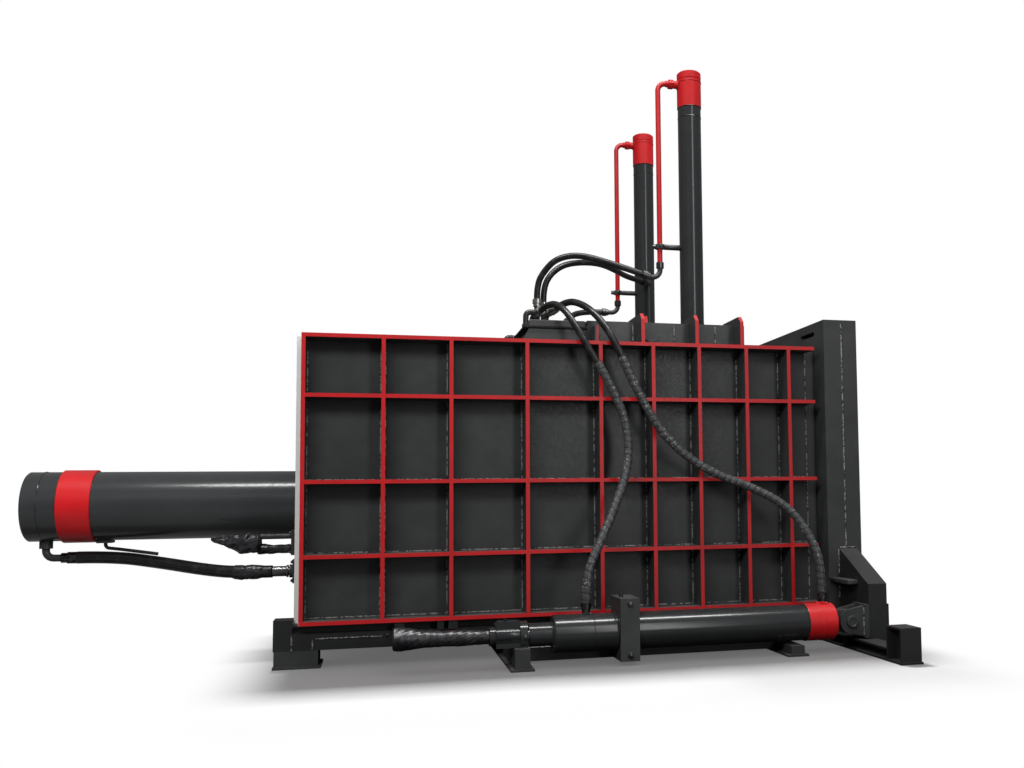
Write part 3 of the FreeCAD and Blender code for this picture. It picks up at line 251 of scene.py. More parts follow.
def enamelParts(add, look, point):
    # one enamel's colour, roughness and normal
    mottle, peel, wave = [
        add("TexNoise", {"Vector": point, "Scale": 1000 / enamelGrain[size], "Detail": detail,
                         "Roughness": rough})[0]
        for size, detail, rough in (("mottleMm", 5.0, 0.6), ("peelMm", 2.0, 0.55), ("waveMm", 1.0, 0.55))]
    worn = add("MapRange", (mottle, 0.42, 0.72, 0.0, 0.55))[0]
    colour = add("Mix", {0: worn, 6: hexColour(look["colour"]), 7: hexColour(look["worn"])}, data_type="RGBA")[2]
    facing = add("SeparateXYZ", (add("NewGeometry")["Normal"],))[2]
    level = add("MapRange", (facing, 0.75, 1.0, 0.0, look["dust"]))[0]
    patchy = add("MapRange", (mottle, *noiseSpread, 0.35, 1.0))[0]
    dust = add("Math", (level, patchy), operation="MULTIPLY")[0]
    colour = add("Mix", {0: dust, 6: colour, 7: hexColour(enamelGrain["dust"])}, data_type="RGBA")[2]
    rough = add("MapRange", (peel, *noiseSpread, *look["roughness"]))[0]
    rough = add("Math", (dust, enamelGrain["dustRough"], rough), operation="MULTIPLY_ADD")[0]
    rolled = add("Bump", {"Height": wave, "Strength": 0.5, "Distance": look["wave"] * 8})[0]
    normal = add("Bump", {"Height": peel, "Strength": 0.25, "Distance": look["wave"], "Normal": rolled})[0]
    return colour, rough, normal


def makeEnamel(name):
    material, add, shader, point = newMaterial(name)
    setShader(shader, *enamelParts(add, enamels[name], point))
    shader.inputs["IOR"].default_value = enamels[name].get("ior", enamelGrain["ior"])
    return material


def makeTwoColour(name, maskOf, redName="carmineRedEnamel"):
    # black enamel with red brushed where the mask is 1
    material, add, shader, point = newMaterial(name)
    place = add("SeparateXYZ", (point,))
    black = enamelParts(add, enamels["satinBlackEnamel"], point)
    red = enamelParts(add, enamels[redName], point)
    mask = maskOf(add, place)
    colour = add("Mix", {0: mask, 6: black[0], 7: red[0]}, data_type="RGBA")[2]
    rough = add("Mix", {0: mask, 2: black[1], 3: red[1]})[0]
    return material, add, shader, point, place, colour, rough, black[2]


# The side walls: red along the ribs' outer faces, paint rubbed off to steel by the scrap inside,
# and the rear end face pale grey, which is painted highlight.
wallPaint = {"ribFace": 1.0685, "lining": 0.8612, "steel": "#77736d", "rust": "#5a4233", "scrapeMm": (900.0, 16.0),
             "paintedHighlight": "#b9b9b6", "rearEnd": -1.3712}


def makeRibbedWall():
    def ribFaces(add, place):
        across = add("Math", (place[1],), operation="ABSOLUTE")[0]
        return add("Math", (across, wallPaint["ribFace"]), operation="GREATER_THAN")[0]

    material, add, shader, point, place, colour, rough, normal = makeTwoColour("ribbedWallEnamel", ribFaces)
    inside = between(add, place[1], -wallPaint["lining"], wallPaint["lining"])
    long, short = wallPaint["scrapeMm"]
    stretched = add("Mapping", {"Vector": point, "Scale": (1000 / long, 1000 / short, 1000 / short)})[0]
    scrapes = add("TexNoise", {"Vector": stretched, "Scale": 1.0, "Detail": 6.0})[0]
    rusty = add("MapRange", (scrapes, 0.45, 0.7, 0.0, 0.8))[0]
    steel = add("Mix", {0: rusty, 6: hexColour(wallPaint["steel"]), 7: hexColour(wallPaint["rust"])},
                data_type="RGBA")[2]
    colour = add("Mix", {0: inside, 6: colour, 7: steel}, data_type="RGBA")[2]
    rough = add("Mix", {0: inside, 2: rough, 3: 0.5})[0]
    # the rear end face in pale grey: painted highlight
    end = add("Math", (place[0], wallPaint["rearEnd"]), operation="LESS_THAN")[0]
    colour = add("Mix", {0: end, 6: colour, 7: hexColour(wallPaint["paintedHighlight"])}, data_type="RGBA")[2]
    metallic = add("Math", (inside, 0.75), operation="MULTIPLY")[0]
    setShader(shader, colour, rough, normal, metallic)
    return material


# The rear plate's two side edges are pale grey too, which is painted highlight.
rearPlateEdge = 0.8885


def makeRearPlate():
    material, add, shader, point = newMaterial("rearPlateEnamel")
    colour, rough, normal = enamelParts(add, enamels["satinBlackEnamel"], point)
    withinEdges = between(add, add("SeparateXYZ", (point,))[1], -rearPlateEdge, rearPlateEdge)
    # pale grey outside the edges: painted highlight
    colour = add("Mix", {0: withinEdges, 6: hexColour(wallPaint["paintedHighlight"]), 7: colour}, data_type="RGBA")[2]
    setShader(shader, colour, rough, normal)
    return material


# The gussets' and the lug's plate edges are red, their broad faces black like the crown.
gussetPaint = {"lug": (1.05, 1.085), "endGusset": (0.58, 0.599), "edgeTurn": 0.5}


def makeGussetEnamel():
    def redEdges(add, place):
        turned = add("SeparateXYZ", (add("NewGeometry")["True Normal"],))[0]
        edge = between(add, turned, -gussetPaint["edgeTurn"], gussetPaint["edgeTurn"])
        lug = between(add, place[0], *gussetPaint["lug"])
        black = between(add, place[0], *gussetPaint["endGusset"])
        edge = add("Math", (edge, black), operation="SUBTRACT")[0]
        return add("Math", (edge, lug), operation="MAXIMUM")[0]

    material, add, shader, point, place, *parts = makeTwoColour("gussetEnamel", redEdges)
    setShader(shader, *parts)
    return material


# The side caps are red up to their front face; the neck and the eye past it are black.
sideCapFront = 2.1733


def makeSideCap():
    def behindFront(add, place):
        return add("Math", (place[0], sideCapFront), operation="LESS_THAN")[0]

    material, add, shader, point, place, *parts = makeTwoColour("sideCapEnamel", behindFront, "signalRedEnamel")
    setShader(shader, *parts)
    return material


# The press pipes are red down to the union nut, which is plated, and black below it.
pipePaint = {"press_pipe_near": (2.806, 2.850), "press_pipe_far": (2.778, 2.822),
             "plated": "#6b6b69", "roughness": 0.3}


def makePipeFinish(nodeName):
    low, high = pipePaint[nodeName]

    def aboveNut(add, place):
        return add("Math", (place[2], high), operation="GREATER_THAN")[0]

    material, add, shader, point, place, colour, rough, normal = makeTwoColour("enamelled_" + nodeName, aboveNut)
    nut = between(add, place[2], low, high)
    colour = add("Mix", {0: nut, 6: colour, 7: hexColour(pipePaint["plated"])}, data_type="RGBA")[2]
    rough = add("Mix", {0: nut, 2: rough, 3: pipePaint["roughness"]})[0]
    setShader(shader, colour, rough, normal, nut)
    return material


# Fittings with zinc plate, passivated: bright from the box at the manifolds, pale at the return
# block, and gone dull under oil on the others.
fittingLook = {"plated": "#c9c8c2", "pale": "#8d8d8e", "dark": "#4a4a4b", "worn": "#77777a", "blotchMm": 26.0,
               "manifoldX": (0.15, 0.66), "manifoldZ": 2.30, "paleX": (-1.75, -1.0), "roughness": (0.22, 0.42)}


def makeFittingSteel():
    material, add, shader, point = newMaterial("fittingSteel")
    place = add("SeparateXYZ", (point,))
    high = add("Math", (place[2], fittingLook["manifoldZ"]), operation="GREATER_THAN")[0]
    bright = between(add, place[0], *fittingLook["manifoldX"])
    bright = add("Math", (bright, high), operation="MULTIPLY")[0]
    blotch = add("TexNoise", {"Vector": point, "Scale": 1000 / fittingLook["blotchMm"], "Detail": 4.0,
                              "Roughness": 0.55})[0]
    share = add("MapRange", (blotch, 0.45, 0.7, 0.0, 1.0))[0]
    colour = hexColour(fittingLook["dark"])
    for mask, name in ((share, "worn"), (between(add, place[0], *fittingLook["paleX"]), "pale"), (bright, "plated")):
        colour = add("Mix", {0: mask, 6: colour, 7: hexColour(fittingLook[name])}, data_type="RGBA")[2]
    rough = add("MapRange", (blotch, *noiseSpread, *fittingLook["roughness"]))[0]
    uneven = add("Bump", {"Height": blotch, "Strength": 0.1, "Distance": 0.0008})[0]
    setShader(shader, colour, rough, uneven, 1.0)
    return material


# Metals: hard chrome ground and polished on the rods, hot-rolled steel worn bright by scrap, and
# blackened bolts rubbed at their corners.
metals = {
    "hardChrome": {"colour": "#d7d8da", "other": "#bfc0c3", "grainMm": (60.0, 1.5), "roughness": (0.07, 0.16)},
    "wornSteel": {"colour": "#77746f", "other": "#4b3d34", "grainMm": (420.0, 40.0), "roughness": (0.38, 0.60)},
    "blackBolt": {"colour": "#6a6a6b", "other": "#3a3a3b", "grainMm": (12.0, 12.0), "roughness": (0.30, 0.48)},
}


def makeMetal(name):
    look = metals[name]
    material, add, shader, point = newMaterial(name)
    long, short = look["grainMm"]
    stretched = add("Mapping", {"Vector": point, "Scale": (1000 / long, 1000 / short, 1000 / short)})[0]
    grain = add("TexNoise", {"Vector": stretched, "Scale": 1.0, "Detail": 5.0})[0]
    share = add("MapRange", (grain, 0.4, 0.68, 0.0, 1.0))[0]
    colour = add("Mix", {0: share, 6: hexColour(look["colour"]), 7: hexColour(look["other"])}, data_type="RGBA")[2]
    rough = add("MapRange", (grain, *noiseSpread, *look["roughness"]))[0]
    ground = add("Bump", {"Height": grain, "Strength": 0.12, "Distance": 0.0006})[0]
    setShader(shader, colour, rough, ground, 1.0)
    return material


# Smooth synthetic rubber cover, wrapped and cured: dull with a long soft shine and light scuffs.
rubberLook = {"colour": "#141415", "rubbedAndGlint": "#2c2c2d", "scuffMm": 60.0, "grainMm": 2.5, "roughness": (0.26, 0.40)}


def makeHoseRubber():
    material, add, shader, point = newMaterial("hoseRubberCover")
    scuff = add("TexNoise", {"Vector": point, "Scale": 1000 / rubberLook["scuffMm"], "Detail": 4.0,
                             "Roughness": 0.65})[0]
    grain = add("TexNoise", {"Vector": point, "Scale": 1000 / rubberLook["grainMm"], "Detail": 2.0,
                             "Roughness": 0.55})[0]
    share = add("MapRange", (scuff, 0.52, 0.72, 0.0, 0.8))[0]
    colour = add("Mix", {0: share, 6: hexColour(rubberLook["colour"]), 7: hexColour(rubberLook["rubbedAndGlint"])},
                 data_type="RGBA")[2]
    rough = add("MapRange", (scuff, *noiseSpread, *rubberLook["roughness"]))[0]
    grained = add("Bump", {"Height": grain, "Strength": 0.2, "Distance": 0.0005})[0]
    setShader(shader, colour, rough, grained)
    return material


# Spiral guard of black polyamide wound on the hose: rounded turns, a dull skin, and bright specks that are partly
# rubbed spots and partly painted glints.
guardLook = {"colour": "#343536", "rubbedAndGlint": "#a2a2a0", "groove": "#1c1c1d", "pitchMm": 46.0, "grooveShare": 0.16,
             "speckMm": 14.0, "patchMm": 90.0, "roughness": (0.30, 0.50)}


def makeHoseGuard():
    material, add, shader, point = newMaterial("hoseSpiralGuard")
    around, distance = add("SeparateXYZ", (add("UVMap", uv_map="along")[0],))[:2]
    turn = add("Math", (distance, 1000 / guardLook["pitchMm"], around), operation="MULTIPLY_ADD")[0]
    turn = add("Math", (turn,), operation="FRACT")[0]
    turn = add("Math", (turn, 0.5), operation="SUBTRACT")[0]
    turn = add("Math", (turn,), operation="ABSOLUTE")[0]
    groove = add("MapRange", (turn, 0.0, guardLook["grooveShare"], 1.0, 0.0))[0]
    speck = add("TexNoise", {"Vector": point, "Scale": 1000 / guardLook["speckMm"], "Detail": 3.0,
                             "Roughness": 0.7})[0]
    patch = add("TexNoise", {"Vector": point, "Scale": 1000 / guardLook["patchMm"], "Detail": 2.0,
                             "Roughness": 0.55})[0]
    # the bright specks, rubbed spots and painted glints, come in patches, and few of them lie in the groove
    rubbedAndGlint = add("MapRange", (speck, 0.56, 0.70, 0.0, 1.0))[0]
    for mask in (add("MapRange", (patch, 0.42, 0.62, 0.15, 1.0))[0],
                 add("MapRange", (groove, 0.0, 1.0, 1.0, 0.1))[0]):
        rubbedAndGlint = add("Math", (rubbedAndGlint, mask), operation="MULTIPLY")[0]
    colour = hexColour(guardLook["colour"])
    for mask, name in ((rubbedAndGlint, "rubbedAndGlint"), (groove, "groove")):
        colour = add("Mix", {0: mask, 6: colour, 7: hexColour(guardLook[name])}, data_type="RGBA")[2]
    rough = add("MapRange", (speck, *noiseSpread, *guardLook["roughness"]))[0]
    height = add("Math", (groove, -0.7, speck), operation="MULTIPLY_ADD")[0]
    turned = add("Bump", {"Height": height, "Strength": 0.4, "Distance": 0.002})[0]
    setShader(shader, colour, rough, turned)
    return material


# Black stretch film wound by hand: glossy, with fine creases that run round and along it.
filmLook = {"colour": "#19191b", "thin": "#343438", "creaseMm": (46.0, 9.0), "roundMm": 260.0, "slant": 0.11,
            "foldMm": 38.0, "roughness": (0.26, 0.42), "coat": 0.12, "coatRoughness": 0.20}


def makeStretchFilm():
    material, add, shader, point = newMaterial("stretchFilm")
    around, distance = add("SeparateXYZ", (add("UVMap", uv_map="along")[0],))[:2]
    long, short = filmLook["creaseMm"]
    slant = add("Math", (around, filmLook["slant"], distance), operation="MULTIPLY_ADD")[0]
    creasePoint = add("CombineXYZ", (
        add("Math", (slant, 1000 / short), operation="MULTIPLY")[0],
        add("Math", (around, filmLook["roundMm"] / long), operation="MULTIPLY")[0]))[0]
    fine = add("TexNoise", {"Vector": creasePoint, "Scale": 1.0, "Detail": 4.0, "Roughness": 0.65})[0]
    fold = add("TexNoise", {"Vector": point, "Scale": 1000 / filmLook["foldMm"], "Detail": 3.0,
                            "Roughness": 0.6})[0]
    share = add("MapRange", (fold, 0.45, 0.7, 0.0, 0.8))[0]
    colour = add("Mix", {0: share, 6: hexColour(filmLook["colour"]), 7: hexColour(filmLook["thin"])},
                 data_type="RGBA")[2]
    rough = add("MapRange", (fine, *noiseSpread, *filmLook["roughness"]))[0]
    folded = add("Bump", {"Height": fold, "Strength": 0.24, "Distance": 0.006})[0]
    creased = add("Bump", {"Height": fine, "Strength": 0.22, "Distance": 0.0015, "Normal": folded})[0]
    setShader(shader, colour, rough, creased)
    shader.inputs["Coat Weight"].default_value = filmLook["coat"]
    shader.inputs["Coat Roughness"].default_value = filmLook["coatRoughness"]
    return material


# Fillet weld under one thin coat: black, with the crowns of the pools bright grey, which is partly bare steel and
# partly painted highlight.
weldLook = {"colour": "#242526", "bright": "#a5a5a3", "poolMm": 21.0, "stretchMm": 260.0, "roughness": (0.5, 0.33)}


def makeBareAndHighlitWeld():
    material, add, shader, point = newMaterial("bareAndHighlitWeld")
    pools = add("TexNoise", {"Vector": point, "Scale": 1000 / weldLook["poolMm"], "Detail": 2.0,
                             "Roughness": 0.6})[0]
    stretch = add("TexNoise", {"Vector": point, "Scale": 1000 / weldLook["stretchMm"], "Detail": 2.0,
                               "Roughness": 0.55})[0]
    # bright grey on the pools' crowns: bare steel and painted highlight
    bright = add("Math", (add("MapRange", (pools, 0.44, 0.57, 0.0, 1.0))[0],
                          add("MapRange", (stretch, 0.32, 0.55, 0.35, 0.95))[0]),
                 operation="MULTIPLY")[0]
    colour = add("Mix", {0: bright, 6: hexColour(weldLook["colour"]), 7: hexColour(weldLook["bright"])},
                 data_type="RGBA")[2]
    dull, shiny = weldLook["roughness"]
    rough = add("Mix", {0: bright, 2: dull, 3: shiny})[0]
    rippled = add("Bump", {"Height": pools, "Strength": 0.3, "Distance": 0.002})[0]
    setShader(shader, colour, rough, rippled, add("Math", (bright, 0.7), operation="MULTIPLY")[0])
    return material


# The long elbow at each manifold's corner came plated, the other steel pipes are black.
pipeworkLook = {"x": (0.150, 0.262), "y": (0.640, 0.740), "z": 2.3505, "plated": "#b9b8b3", "blotchMm": 30.0,
                "roughness": (0.24, 0.44)}


def makePipework():
    material, add, shader, point = newMaterial("pipeworkEnamel")
    place = add("SeparateXYZ", (point,))
    across = add("Math", (place[1],), operation="ABSOLUTE")[0]
    elbow = add("Math", (place[2], pipeworkLook["z"]), operation="GREATER_THAN")[0]
    for value, axis in ((place[0], "x"), (across, "y")):
        span = between(add, value, *pipeworkLook[axis])
        elbow = add("Math", (elbow, span), operation="MULTIPLY")[0]
    colour, rough, normal = enamelParts(add, enamels["glossBlackEnamel"], point)
    blotch = add("TexNoise", {"Vector": point, "Scale": 1000 / pipeworkLook["blotchMm"], "Detail": 3.0,
                              "Roughness": 0.55})[0]
    platedRough = add("MapRange", (blotch, *noiseSpread, *pipeworkLook["roughness"]))[0]
    colour = add("Mix", {0: elbow, 6: colour, 7: hexColour(pipeworkLook["plated"])}, data_type="RGBA")[2]
    rough = add("Mix", {0: elbow, 2: rough, 3: platedRough})[0]
    setShader(shader, colour, rough, normal, elbow)
    return material


finishes = {name: makeEnamel(name) for name in enamels}
finishes.update({name: makeMetal(name) for name in metals})
finishes.update({name: makePipeFinish(name) for name in ("press_pipe_near", "press_pipe_far")})
for make in (makeRibbedWall, makeGussetEnamel, makeSideCap, makeRearPlate, makeBareAndHighlitWeld, makeHoseGuard,
             makeHoseRubber, makeFittingSteel, makePipework, makeStretchFilm):
    finish = make()
    finishes[finish.name] = finish

# every other CAD node is satin black
nodeFinish = {
    "wall_near": "ribbedWallEnamel", "wall_far": "ribbedWallEnamel", "crown_gussets": "gussetEnamel",
    "rear_plate": "rearPlateEnamel", "main_band": "signalRedEnamel",
    "press_cap_near": "carmineRedEnamel", "press_cap_far": "carmineRedEnamel",
    "side_cap_near": "sideCapEnamel", "side_cap_far": "sideCapEnamel",
    "press_pipe_near": "press_pipe_near", "press_pipe_far": "press_pipe_far",
    "main_barrel": "cylinderBlackEnamel", "main_cap": "cylinderBlackEnamel",
    # the skids, gate arms and ground beam take the darker copy of the satin black, as painted shade
    "skids": "shadedBlackEnamel", "gate_arms": "shadedBlackEnamel", "ground_beam": "shadedBlackEnamel",
    "press_barrel_near": "glossBlackEnamel", "press_barrel_far": "glossBlackEnamel",
    "side_barrel_near": "glossBlackEnamel", "side_barrel_far": "glossBlackEnamel",
    "rod_anchor_near": "glossBlackEnamel", "rod_anchor_far": "glossBlackEnamel",
    "floor_plate": "wornSteel", "platen": "wornSteel", "press_head": "wornSteel",
    "main_rod": "hardChrome", "press_rods": "hardChrome", "side_rod_near": "hardChrome", "side_rod_far": "hardChrome",
    "hose_ferrules": "fittingSteel", "side_ferrules": "fittingSteel",
    "hose_tray": "rubberAndShadowBlack", "pipework": "pipeworkEnamel",
}
for nodeName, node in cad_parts.items():
    node.data.materials.clear()
    node.data.materials.append(finishes[nodeFinish.get(nodeName, "satinBlackEnamel")])
print("materials on the CAD nodes")

# Hoses: each route is a smooth spline's control points, and the guard's numbers are the bare hose's
# diameter above it, the height where it begins, its diameter at the end and the height of that end

hoses = {
    "hoseHeadNear": {
        "replaces": "hose_head_near", "diameter": 0.060, "length": 2.56, "gateEnd": True,
        "guard": {"above": 0.048, "from": 2.02, "end": 0.068, "endBelow": 0.60},
        "route": [(0.264, -0.690, 2.454), (0.313, -0.840, 2.490), (0.383, -1.010, 2.407), (0.452, -1.090, 2.261),
                  (0.534, -1.135, 2.102), (0.652, -1.150, 1.905), (0.790, -1.160, 1.602), (0.791, -1.195, 1.302),
                  (0.665, -1.285, 1.010), (0.540, -1.370, 0.780), (0.434, -1.420, 0.575), (0.434, -1.420, 0.3966)],
    },
    "hoseCapNear": {
        "replaces": "hose_cap_near", "diameter": 0.060, "length": 3.15, "gateEnd": True,
        "guard": {"above": 0.050, "from": 2.06, "end": 0.060, "endBelow": 0.60},
        "route": [(0.392, -0.610, 2.488), (0.449, -0.740, 2.522), (0.535, -0.900, 2.469), (0.623, -1.030, 2.355),
                  (0.717, -1.120, 2.172), (0.862, -1.145, 1.829), (1.056, -1.160, 1.491), (1.355, -1.175, 1.258),
                  (1.702, -1.220, 1.135), (1.950, -1.290, 0.985), (2.075, -1.385, 0.735), (2.104, -1.420, 0.575),
                  (2.104, -1.420, 0.4016)],
    },
    "hosePressOuter": {
        "replaces": "hose_press_outer", "diameter": 0.047, "length": 1.02, "gateEnd": False,
        "route": [(0.262, -0.520, 2.5659), (0.262, -0.520, 2.6809), (0.313, -0.560, 2.778), (0.401, -0.600, 2.868),
                  (0.568, -0.640, 2.894), (0.8058, -0.690, 2.8237), (1.0362, -0.690, 2.7565)],
    },
    "hosePressInner": {
        "replaces": "hose_press_inner", "diameter": 0.047, "length": 1.58, "gateEnd": False,
        "route": [(0.330, -0.400, 2.5659), (0.330, -0.400, 2.6729), (0.377, -0.405, 2.781), (0.487, -0.380, 2.873),
                  (0.660, -0.300, 2.920), (0.850, -0.100, 2.960), (1.020, 0.110, 2.962), (1.178, 0.335, 2.960),
                  (1.335, 0.461, 2.960)],
    },
    "hosePressFar": {
        "replaces": "hose_press_far", "diameter": 0.050, "length": 1.39, "gateEnd": False,
        "route": [(0.520, -0.400, 2.420), (0.590, -0.200, 2.425), (0.630, 0.020, 2.435), (0.640, 0.280, 2.500),
                  (0.690, 0.540, 2.625), (0.838, 0.690, 2.716), (1.0304, 0.690, 2.716)],
    },
    "hoseMain": {
        "replaces": "hose_main", "diameter": 0.086, "length": 1.43, "gateEnd": False,
        "route": [(-2.9303, 0.0, 0.700), (-2.6903, 0.0, 0.700), (-2.370, -0.080, 0.653), (-2.050, -0.262, 0.606),
                  (-1.830, -0.396, 0.590), (-1.5929, -0.396, 0.590)],
    },
}
hoseSkin = {"sides": 20, "step": 0.008, "guardPitch": 0.046, "guardDepth": 0.0022, "grooveShare": 0.14,
            "taper": 0.01, "swell": 0.06}


def linePoints(route):
    # points read from the NURBS spline that has the route as its control points
    curve = bpy.data.curves.new("line", "CURVE")
    curve.dimensions = "3D"
    curve.resolution_u = 24
    spline = curve.splines.new("NURBS")
    spline.points.add(len(route) - 1)
    for point, place in zip(spline.points, route):
        point.co = (*place, 1.0)
    spline.order_u = 3
    spline.use_endpoint_u = True
    holder = bpy.data.objects.new("line", curve)
    bpy.context.scene.collection.objects.link(holder)
    bpy.context.view_layer.update()
    mesh = bpy.data.meshes.new_from_object(holder.evaluated_get(bpy.context.evaluated_depsgraph_get()))
    places = [v.co.copy() for v in mesh.vertices]
    bpy.data.objects.remove(holder)
    bpy.data.curves.remove(curve)
    bpy.data.meshes.remove(mesh)
    return places


def evenPoints(places, step):
    # the same line with points a step apart
    reach = [0.0]
    for a, b in zip(places, places[1:]):
        reach.append(reach[-1] + (b - a).length)
    count = max(2, round(reach[-1] / step))
    at = np.linspace(0.0, reach[-1], count + 1)
    line = np.array([np.interp(at, reach, [p[i] for p in places]) for i in range(3)]).T
    return [Vector(p) for p in line], at


def tubeAlong(name, places, at, radiusOf, sides):
    # a closed tube whose rings stand square to the line without twisting
    rings = []
    count = len(places)
    side = (places[1] - places[0]).normalized().orthogonal().normalized()
    for i, place in enumerate(places):
        ahead = (places[min(i + 1, count - 1)] - places[max(i - 1, 0)]).normalized()
        side = (side - ahead * side.dot(ahead)).normalized()
        up = ahead.cross(side)
        ring = []
        for j in range(sides):
            angle = 2 * math.pi * j / sides
            radius = radiusOf(at[i], angle)
            ring.append(place + (side * math.cos(angle) + up * math.sin(angle)) * radius)
        rings.append(ring)
    corners = [c for ring in rings for c in ring]
    faces = []
    for i in range(count - 1):
        for j in range(sides):
            k = (j + 1) % sides
            faces.append((i * sides + j, i * sides + k, (i + 1) * sides + k, (i + 1) * sides + j))
    faces.append(tuple(reversed(range(sides))))
    faces.append(tuple((count - 1) * sides + j for j in range(sides)))
    mesh = bpy.data.meshes.new(name)
    mesh.from_pydata([tuple(c) for c in corners], [], faces)
    turns = mesh.uv_layers.new(name="along")
    index = 0
    for face in faces:
        for spot, corner in enumerate(face):
            i, j = divmod(corner, sides)
            # the last face of a ring ends at 1, not back at 0
            around = 1.0 if j == 0 and spot in (1, 2) and len(face) == 4 else j / sides
            turns.data[index].uv = (around, at[i])
            index += 1
    mesh.validate()
    tube = bpy.data.objects.new(name, mesh)
    bpy.context.scene.collection.objects.link(tube)
    for polygon in mesh.polygons:
        polygon.use_smooth = len(polygon.vertices) == 4
    return tube


def addHose(name, hose, mirror=False):
    flip = -1 if mirror else 1
    route = [(x, y * flip, z) for x, y, z in hose["route"]]
    places, at = evenPoints(linePoints(route), hoseSkin["step"])
    guard = hose.get("guard")
    heights = [p.z for p in places]
    if guard:
        # bare hose down to the height where the spiral guard begins, then thicker, thickest at its end
        peak = heights.index(max(heights))
        turnsAt = next(at[i] for i in range(peak, len(at)) if heights[i] < guard["from"])
        swellsAt = next(at[i] for i in range(peak, len(at)) if heights[i] < guard["endBelow"])
        reach = [0.0, turnsAt - hoseSkin["taper"], turnsAt + hoseSkin["taper"], swellsAt,
                 swellsAt + hoseSkin["swell"], at[-1]]
        size = [guard["above"]] * 2 + [hose["diameter"]] * 2 + [guard["end"]] * 2
    else:
        turnsAt = math.inf
        reach, size = [0.0, at[-1]], [hose["diameter"]] * 2

    def guardedRadius(distance, angle):
        # the turns of the guard are rounded, with a groove between each two
        radius = float(np.interp(distance, reach, size)) / 2
        if distance < turnsAt:
            return radius
        turn = (distance / hoseSkin["guardPitch"] + angle / (2 * math.pi)) % 1.0
        return radius - hoseSkin["guardDepth"] * max(0.0, 1.0 - abs(turn - 0.5) / hoseSkin["grooveShare"])

    tube = tubeAlong(name, places, at, guardedRadius, hoseSkin["sides"])
    tube.data.materials.append(finishes["hoseRubberCover"])
    tube.data.materials.append(finishes["hoseSpiralGuard"])
    for polygon in tube.data.polygons:
        if at[polygon.vertices[0] // hoseSkin["sides"]] >= turnsAt:
            polygon.material_index = 1
    node = hose["replaces"].replace("near", "far") if mirror else hose["replaces"]
    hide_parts(node)
    if hose["gateEnd"]:
        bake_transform(tube)
    else:
        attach(tube, "chamber")


for hoseName, hose in hoses.items():
    addHose(hoseName, hose)
for hoseName in ("hoseHeadNear", "hoseCapNear"):
    addHose(hoseName.replace("Near", "Far"), hoses[hoseName], mirror=True)
print("hoses laid")

# Stretch film over the rod tails and the return pipes: "radii" gives the radius at distances along
# the line, and "square" how far the film stays square over the rod's tail lug

rodFilm = {
    "line": [(-0.792, -1.420, 0.217), (-0.700, -1.420, 0.217), (-0.560, -1.420, 0.209), (-0.195, -1.420, 0.207)],
    "radii": [(0.0, 0.046), (0.006, 0.060), (0.05, 0.066), (0.13, 0.062), (0.19, 0.054), (0.32, 0.049),
              (0.42, 0.052), (0.50, 0.047), (0.597, 0.0445)],
    "square": 0.16, "creases": 0.0035, "lumps": 0.0, "step": 0.006, "sides": 56,
}
returnFilm = {
    "line": [(-1.676, -0.330, 0.788), (-1.780, -0.330, 0.786), (-1.880, -0.330, 0.796), (-2.008, -0.330, 0.824)],
    "radii": [(0.0, 0.050), (0.02, 0.064), (0.09, 0.067), (0.14, 0.066), (0.19, 0.044), (0.25, 0.034),
              (0.332, 0.006)],
    "square": 0.0, "creases": 0.011, "lumps": 0.010, "step": 0.005, "sides": 56,
}
lowerPipeFilm = {
    "line": [(-1.476, -0.316, 0.744), (-1.560, -0.316, 0.742), (-1.630, -0.316, 0.742), (-1.700, -0.318, 0.746)],
    "radii": [(0.0, 0.026), (0.01, 0.031), (0.10, 0.029), (0.15, 0.034), (0.224, 0.038)],
    "square": 0.0, "creases": 0.005, "lumps": 0.003, "step": 0.005, "sides": 40,
}
mainHoseFilm = {
    "line": [(-1.850, -0.384, 0.591), (-1.790, -0.396, 0.590), (-1.720, -0.396, 0.590), (-1.650, -0.396, 0.590)],
    "radii": [(0.0, 0.0445), (0.012, 0.049), (0.06, 0.051), (0.075, 0.047), (0.09, 0.051), (0.16, 0.049),
              (0.19, 0.044), (0.2, 0.0415)],
    "square": 0.0, "creases": 0.0035, "lumps": 0.002, "step": 0.004, "sides": 40,
}


# the creases are a sum of folded waves, drawn at random for each film; "mean" is their middle height
filmCrease = {"waves": 9, "along": (20, 90), "around": (1, 6), "mean": 0.64, "least": 0.004}


def addFilm(name, film, nodes, mirror=False):
    flip = -1 if mirror else 1
    places, at = evenPoints(linePoints([(x, y * flip, z) for x, y, z in film["line"]]), film["step"])
    reach = [r[0] * at[-1] / film["radii"][-1][0] for r in film["radii"]]
    size = [r[1] for r in film["radii"]]
    waves = [(random.uniform(*filmCrease["along"]), random.randint(*filmCrease["around"]), random.uniform(0, 6.28))
             for _ in range(filmCrease["waves"])]

    def creased(distance, angle):
        fold = sum(abs(math.sin(distance * step + angle * count + start)) for step, count, start in waves)
        # two long waves across each other give the lumps of what lies under the film
        lump = math.sin(distance * 47 + 2.1 * angle) * math.sin(distance * 23 - angle + 1.0)
        radius = float(np.interp(distance, reach, size)) + film["lumps"] * lump
        square = max(0.0, 1.0 - distance / film["square"]) if film["square"] else 0.0
        corner = (abs(math.cos(angle)) ** 4 + abs(math.sin(angle)) ** 4) ** -0.25
        radius *= 1.0 + square * (corner - 1.0)
        return max(filmCrease["least"], radius + film["creases"] * (fold / len(waves) - filmCrease["mean"]) * 2)

    wrap = tubeAlong(name, places, at, creased, film["sides"])
    wrap.data.materials.append(finishes["stretchFilm"])
    for node in nodes:
        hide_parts(node)
    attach(wrap, "chamber")


